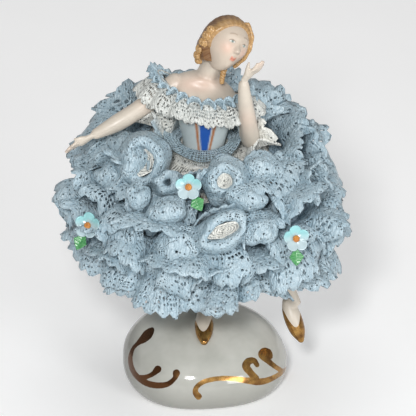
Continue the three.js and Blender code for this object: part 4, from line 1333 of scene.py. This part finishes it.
def blossom_frame(row, degrees, share, forward):
    """The blossom's middle, and its directions to the side, up and out."""
    angle = math.radians(degrees)
    # It faces away from the skirt, upwards and towards the viewer.
    out = unit(np.array([0.4 * math.cos(angle), 0.6 * math.sin(angle) - 0.4, 0.42]))
    side = unit(np.cross([0, 0, 1], out))
    fall = math.radians(FRILL_FALLS[row])
    _, down, away = underskirt_frame(np.array(angle), fall)
    frontness = frill_frontness(np.array(angle), row)
    lean = math.radians(FRILL_LEANS[row]) + math.radians(CAD_FRONT_DROOP) * frontness
    bend = lean + CAD_FRILL_CURL * (share - 1) / 2
    reach = FRILL_WIDTH * share * (1 + FRONT_EXTRA * frontness)
    root = underskirt_point(np.array(angle), fall) + away * (CONTACT_GAP + CAD_LACE_THICKNESS / 2)
    centre = root + (away * np.cos(bend) + down * np.sin(bend)) * reach
    centre = centre + out * (FRILL_WAVE / 2 + BLOSSOM_THICKNESS / 2 + BLOSSOM_LIFT + forward)
    return centre, side, np.cross(out, side), out


def plate_rings(columns, rows, outline, height, thickness):
    """Rings of a thin cupped plate, up its under side and back over its upper side, in its own axes."""
    angle = TURN * np.arange(columns) / columns
    share = np.concatenate([np.linspace(0.04, 1, rows), np.linspace(1, 0.04, rows)])[:, None]
    upper = np.repeat([0, 1], rows)[:, None]
    reach = outline(angle) * share
    x, y = reach * np.cos(angle), reach * np.sin(angle)
    return vec(x, y, height(x, y, share, angle) + thickness * (upper - 0.5)), share


def placed(rings, axes):
    """Rings in the axes of a blossom or a leaf, placed in the scene."""
    centre, side, up, out = axes
    return rings @ np.stack([side, up, out]) + centre


def petal_outline(angle):
    lobe = np.abs(np.cos(PETALS * (angle - PETAL_START) / 2)) ** 0.6
    return BLOSSOM_DIAMETER / 2 * (0.72 + 0.28 * lobe)


def petal_height(x, y, share, angle):
    cup = 1.5 * share**2 - 0.5
    return cup + 0.35 * np.cos(PETALS * (angle - PETAL_START)) * share


def leaf_outline(angle):
    widest = np.abs(np.sin(angle)) ** 1.15 * (1 - 0.12 * np.cos(angle))
    return 1 / (np.abs(np.cos(angle)) / (LEAF_LENGTH / 2) + widest / (LEAF_WIDTH / 2 * 1.35))


def leaf_height(x, y, share, angle):
    return 0.30 * np.abs(y) + 0.08 * np.cos(5.5 * x) * (np.abs(y) > 0.2) - 0.02 * x**2


def build_blossoms(petal, orange, leaf):
    petals, share = plate_rings(*PETAL_GRID, petal_outline, petal_height, PETAL_THICKNESS)
    upward = petals[..., 1] / (BLOSSOM_DIAMETER / 2)
    blue = smooth(upward, -0.35, 0.55) * smooth(share, 0.2, 0.6)
    colours = painted(PETAL_PALE, [(blue, PETAL_BLUE)])
    x, y, z = sphere_directions(*BEAD_GRID)
    bumps = 1 + 0.10 * np.sin(7 * np.arctan2(y, x)) * np.sin(5 * z)
    bead = vec(x, y, z * 0.8) * bumps[..., None] * CENTRE_DIAMETER / 2 + np.array([0, 0, BEAD_FORWARD])
    blade, _ = plate_rings(*LEAF_GRID, leaf_outline, leaf_height, LEAF_THICKNESS)
    away = BLOSSOM_DIAMETER / 2 + LEAF_LENGTH / 2 - LEAF_TUCK
    for name, row, degrees, place, leaf_turn, forward in BLOSSOMS:
        axes = blossom_frame(row, degrees, place, forward)
        add_shell(f"blossom_{name}_petals", f"blossom_{name}", "petal_glaze", petal,
                  placed(petals, axes), colours)
        add_shell(f"blossom_{name}_bead", f"blossom_centre_{name}", "orange_glaze", orange,
                  placed(bead, axes))
        centre, side, up, out = axes
        turn = math.radians(leaf_turn)
        along = side * math.cos(turn) + up * math.sin(turn)
        leaf_axes = (centre + along * away - out * LEAF_BACK, along, np.cross(out, along), out)
        add_shell(f"leaf_{name}_blade", f"leaf_{name}", "leaf_glaze", leaf, placed(blade, leaf_axes))


# Materials

# Distance between two lines of a wave texture of scale 1
WAVE_PITCH = 0.314


class Nodes:
    """Short names for the nodes of one material. Sizes are in millimetres."""

    def __init__(self, name):
        self.material = bpy.data.materials.new(name)
        self.material.use_nodes = True
        self.tree = self.material.node_tree
        self.tree.nodes.clear()
        self.shader = self.node("BsdfPrincipled")
        self.node("OutputMaterial", {"Surface": self.shader.outputs["BSDF"]})
        self.place = self.node("TexCoord").outputs["Object"]

    def feed(self, socket, value):
        """Links an output to a socket, or sets the socket to a number or a colour."""
        if isinstance(value, bpy.types.NodeSocket):
            self.tree.links.new(value, socket)
        else:
            socket.default_value = (*value, 1) if isinstance(value, tuple) else value

    def node(self, kind, inputs=None, **settings):
        node = self.tree.nodes.new("ShaderNode" + kind)
        for name, value in settings.items():
            setattr(node, name, value)
        for socket, value in (inputs or {}).items():
            self.feed(node.inputs[socket], value)
        return node

    def set(self, **values):
        """Sets or links the shader's sockets, whose names are written with _ for a space."""
        for name, value in values.items():
            self.feed(self.shader.inputs[name.replace("_", " ")], value)

    def texture(self, kind, output, scale, inputs=None):
        inputs = {"Vector": self.place, "Scale": scale, **(inputs or {})}
        return self.node("Tex" + kind, inputs).outputs[output]

    def noise(self, size, roughness=0.55, swirl=0.0):
        """Noise whose features are about size across."""
        inputs = {"Detail": 3, "Roughness": roughness, "Distortion": swirl}
        return self.texture("Noise", "Fac", 1 / (size * MM), inputs)

    def swirls(self, pitch):
        """Wandering parallel lines about pitch apart."""
        inputs = {"Distortion": 16, "Detail": 2, "Detail Scale": 0.9}
        return self.texture("Wave", "Fac", WAVE_PITCH / (pitch * MM), inputs)

    def cells(self, size):
        """Distance to the middle of irregular cells about size across."""
        return self.texture("Voronoi", "Distance", 1 / (size * MM))

    def coordinate(self, axis):
        return self.node("SeparateXYZ", {0: self.place}).outputs[axis]

    def attribute(self, name, output="Fac"):
        return self.node("Attribute", attribute_name=name).outputs[output]

    def spread(self, value, low, high, to_low=0.0, to_high=1.0):
        """The range low to high of a value, spread to another range and clamped."""
        inputs = {"Value": value, "From Min": low, "From Max": high, "To Min": to_low, "To Max": to_high}
        return self.node("MapRange", inputs).outputs["Result"]

    def math(self, operation, a, b):
        return self.node("Math", {0: a, 1: b}, operation=operation).outputs[0]

    def blend(self, share, a, b, mode="MIX"):
        """Colour a turned into colour b by a share."""
        # Inputs 6 and 7 and output 2 are the ones for colours
        return self.node("Mix", {0: share, 6: a, 7: b}, data_type="RGBA", blend_type=mode).outputs[2]

    def bump(self, height, depth, strength=1.0):
        inputs = {"Distance": depth * MM, "Strength": strength, "Height": height}
        return self.node("Bump", inputs).outputs["Normal"]


# The mound's glaze, and where it is darker: in clouds, and with painted shade towards the foot and towards
# the dancer's right
GLAZE_WHITE = (0.60, 0.597, 0.55)
GLAZE_SHADE = (0.47, 0.47, 0.425)
PAINTED_FOOT_SHADE = (0.27, 0.27, 0.245)
FOOT_SHADE_HEIGHTS = (2 * MM, 25 * MM)
PAINTED_EDGE_SHADE = (0.11, 0.105, 0.09)
EDGE_SHADE_PLACES = (-31 * MM, -24 * MM)
GOLD_LIGHT = (0.52, 0.30, 0.09)
GOLD_DARK = (0.16, 0.07, 0.022)
GOLD_BROWN = (0.10, 0.04, 0.014)
BROWN_PLACES = (-12 * MM, 0)
GOLD_METALLIC = 0.85
GOLD_ROUGHNESS = 0.24
LACE_WHITE = (0.78, 0.78, 0.73)


def add_gold(m, paint, gold, inside, edge, rough):
    """Paint with gold where inside is over 0, and each one's own sheen."""
    painted = m.spread(inside, -edge, edge)
    m.set(Base_Color=m.blend(painted, paint, gold), Metallic=m.math("MULTIPLY", painted, GOLD_METALLIC),
          Roughness=m.spread(painted, 0, 1, rough, GOLD_ROUGHNESS))


def gold_colour(m):
    return m.blend(m.spread(m.noise(3), 0.3, 0.7), GOLD_DARK, GOLD_LIGHT)


def glaze_material():
    """White glaze with gold scrolls, painted unevenly by hand, with painted shade towards the foot and
    towards the dancer's right.
    """
    m = Nodes("mound_glaze")
    base = m.blend(m.spread(m.noise(14), 0.35, 0.7), GLAZE_WHITE, GLAZE_SHADE)
    # Painted shade: the glaze is darker towards the foot
    base = m.blend(m.spread(m.coordinate("Z"), *FOOT_SHADE_HEIGHTS, 0.95, 0.0), base, PAINTED_FOOT_SHADE)
    # Painted shade: the glaze is darker towards the dancer's right side
    base = m.blend(m.spread(m.coordinate("X"), *EDGE_SHADE_PLACES, 0.8, 0.0), base, PAINTED_EDGE_SHADE)
    gold = m.blend(m.spread(m.coordinate("X"), *BROWN_PLACES), GOLD_BROWN, gold_colour(m))
    wobble = m.math("MULTIPLY", m.spread(m.noise(0.8), 0.0, 1.0, -1, 1), 0.12)
    add_gold(m, base, gold, m.math("ADD", m.attribute("gold"), wobble), 0.06, 0.1)
    m.set(Specular_IOR_Level=0.55, Normal=m.bump(m.noise(6), 0.25, 0.5))
    return m.material


def paint_material(name, rough):
    """Glazed paint from the mesh's own colours, with gold where the mask says."""
    m = Nodes(name)
    cloud = m.spread(m.noise(5), 0.3, 0.7, 0.94, 1.04)
    shade = m.node("CombineColor", {0: cloud, 1: cloud, 2: cloud}).outputs["Color"]
    paint = m.blend(1.0, m.attribute("paint", "Color"), shade, "MULTIPLY")
    add_gold(m, paint, gold_colour(m), m.attribute("gold"), 0.12, rough)
    m.set(Specular_IOR_Level=0.5, Normal=m.bump(m.noise(4), 0.08, 0.5))
    return m.material


def lace_material(name, deep, pale, rough, root):
    """Lace under a thin glaze: swirling threads, pits painted with shadow and small glints, painted
    shading at the root, and white where the mask says."""
    m = Nodes(name)
    lumps = m.noise(1.8, roughness=0.6, swirl=0.4)
    relief = m.math("ADD", m.math("MULTIPLY", m.swirls(1.3), 0.45), m.spread(lumps, 0.25, 0.75))
    patches = m.spread(m.noise(8), 0.3, 0.7)
    tone = m.math("ADD", m.math("MULTIPLY", patches, 0.35), m.math("MULTIPLY", relief, 0.45))
    # Painted shading near the root: painted shade on the blue lace, painted light on the white lace where it
    # lies in shade
    root_shading_share = m.spread(m.attribute("share"), 0.1, 0.65)
    colour = m.blend(root_shading_share, root, m.blend(tone, deep, pale))
    colour = m.blend(m.attribute("white"), colour, LACE_WHITE)
    pits = m.spread(m.cells(1.7), 0.15, 0.24, 1.0, 0.0)
    shadow = tuple(0.22 * value for value in deep)
    depth = m.math("SUBTRACT", relief, m.math("MULTIPLY", pits, 0.9))
    m.set(Base_Color=m.blend(m.math("MULTIPLY", pits, 0.85), colour, shadow), Specular_IOR_Level=0.6,
          Roughness=m.spread(m.noise(1.5), 0.3, 0.7, rough - 0.1, rough + 0.12),
          Normal=m.bump(depth, 0.4))
    return m.material


def plain_glaze(name, colour, shade):
    m = Nodes(name)
    m.set(Base_Color=m.blend(m.spread(m.noise(1.5), 0.3, 0.7), colour, shade), Roughness=0.22,
          Normal=m.bump(m.noise(1.2), 0.06, 0.6))
    return m.material


# Stage, lights and camera

FLOOR_SIZE = 6
FLOOR_GLOW = 0.14
SKY_STRENGTH = 0.34
LIGHT_TARGET = Vector((0, 0, 75))
# Lamps: name, place and size in millimetres, and watts
LAMPS = (
    ("key", (-120, -1300, 850), 180, 13), ("fill", (700, -900, 350), 400, 5),
    ("top", (0, 300, 1400), 900, 3),
)


def aimed(name, data, place, back):
    """A lamp or camera at a place, which looks away from back."""
    thing = bpy.data.objects.new(name, data)
    thing.location = place * MM
    thing.rotation_mode = "QUATERNION"
    thing.rotation_quaternion = (-back).to_track_quat("-Z", "Y")
    bpy.context.scene.collection.objects.link(thing)
    return thing


def studio():
    bpy.ops.mesh.primitive_plane_add(size=FLOOR_SIZE)
    floor = bpy.context.object
    floor.name = "floor"
    m = Nodes("floor_paper")
    paper = m.blend(m.spread(m.noise(60), 0.3, 0.7), (0.93, 0.93, 0.93), (0.95, 0.95, 0.95))
    m.set(Base_Color=paper, Roughness=0.9, Emission_Color=(1, 1, 1), Emission_Strength=FLOOR_GLOW)
    floor.data.materials.append(m.material)
    world = bpy.data.worlds.new("studio")
    world.use_nodes = True
    sky = world.node_tree.nodes["Background"].inputs
    sky["Color"].default_value = (1, 1, 1, 1)
    sky["Strength"].default_value = SKY_STRENGTH
    bpy.context.scene.world = world
    for name, place, size, watts in LAMPS:
        lamp = bpy.data.lights.new(name, "AREA")
        lamp.size = size * MM
        lamp.energy = watts
        aimed(name, lamp, Vector(place), Vector(place) - LIGHT_TARGET)


def camera():
    lens = bpy.data.cameras.new("camera")
    lens.sensor_width = SENSOR_WIDTH
    lens.lens = lens.sensor_width * VIEW_DISTANCE / FRAME_WIDTH
    lens.clip_end = 10
    back = Vector(TO_VIEWER)
    centre = Vector((FRAME_CENTRE_ACROSS, 0, 0)) + Vector(PICTURE_UP) * FRAME_CENTRE_UP
    bpy.context.scene.camera = aimed("camera", lens, centre + back * VIEW_DISTANCE, back)
    bpy.context.scene.view_settings.view_transform = "Standard"


# The last colour of each lace is its painted shading at the root: darker painted shade for the blue lace,
# lighter painted light for the white lace
blue_lace = lace_material("blue_lace", (0.26, 0.38, 0.455), (0.50, 0.605, 0.655), 0.30, (0.20, 0.28, 0.34))
white_lace = lace_material("white_lace", (0.46, 0.48, 0.46), (0.72, 0.73, 0.69), 0.36, (0.80, 0.80, 0.75))
skin_paint = paint_material("painted_skin", 0.36)
build_mound()
build_skirt(blue_lace)
build_loops(blue_lace, white_lace)
build_underskirt(white_lace)
build_bodice_frills(blue_lace, white_lace)
build_figure(skin_paint)
build_legs(skin_paint)
build_head(paint_material("painted_face", 0.42))
build_hair(paint_material("painted_hair", 0.26))
build_blossoms(
    paint_material("petal_glaze", 0.2),
    plain_glaze("orange_glaze", (0.62, 0.27, 0.05), (0.42, 0.14, 0.03)),
    plain_glaze("leaf_glaze", (0.04, 0.22, 0.07), (0.12, 0.36, 0.14)),
)
studio()
camera()
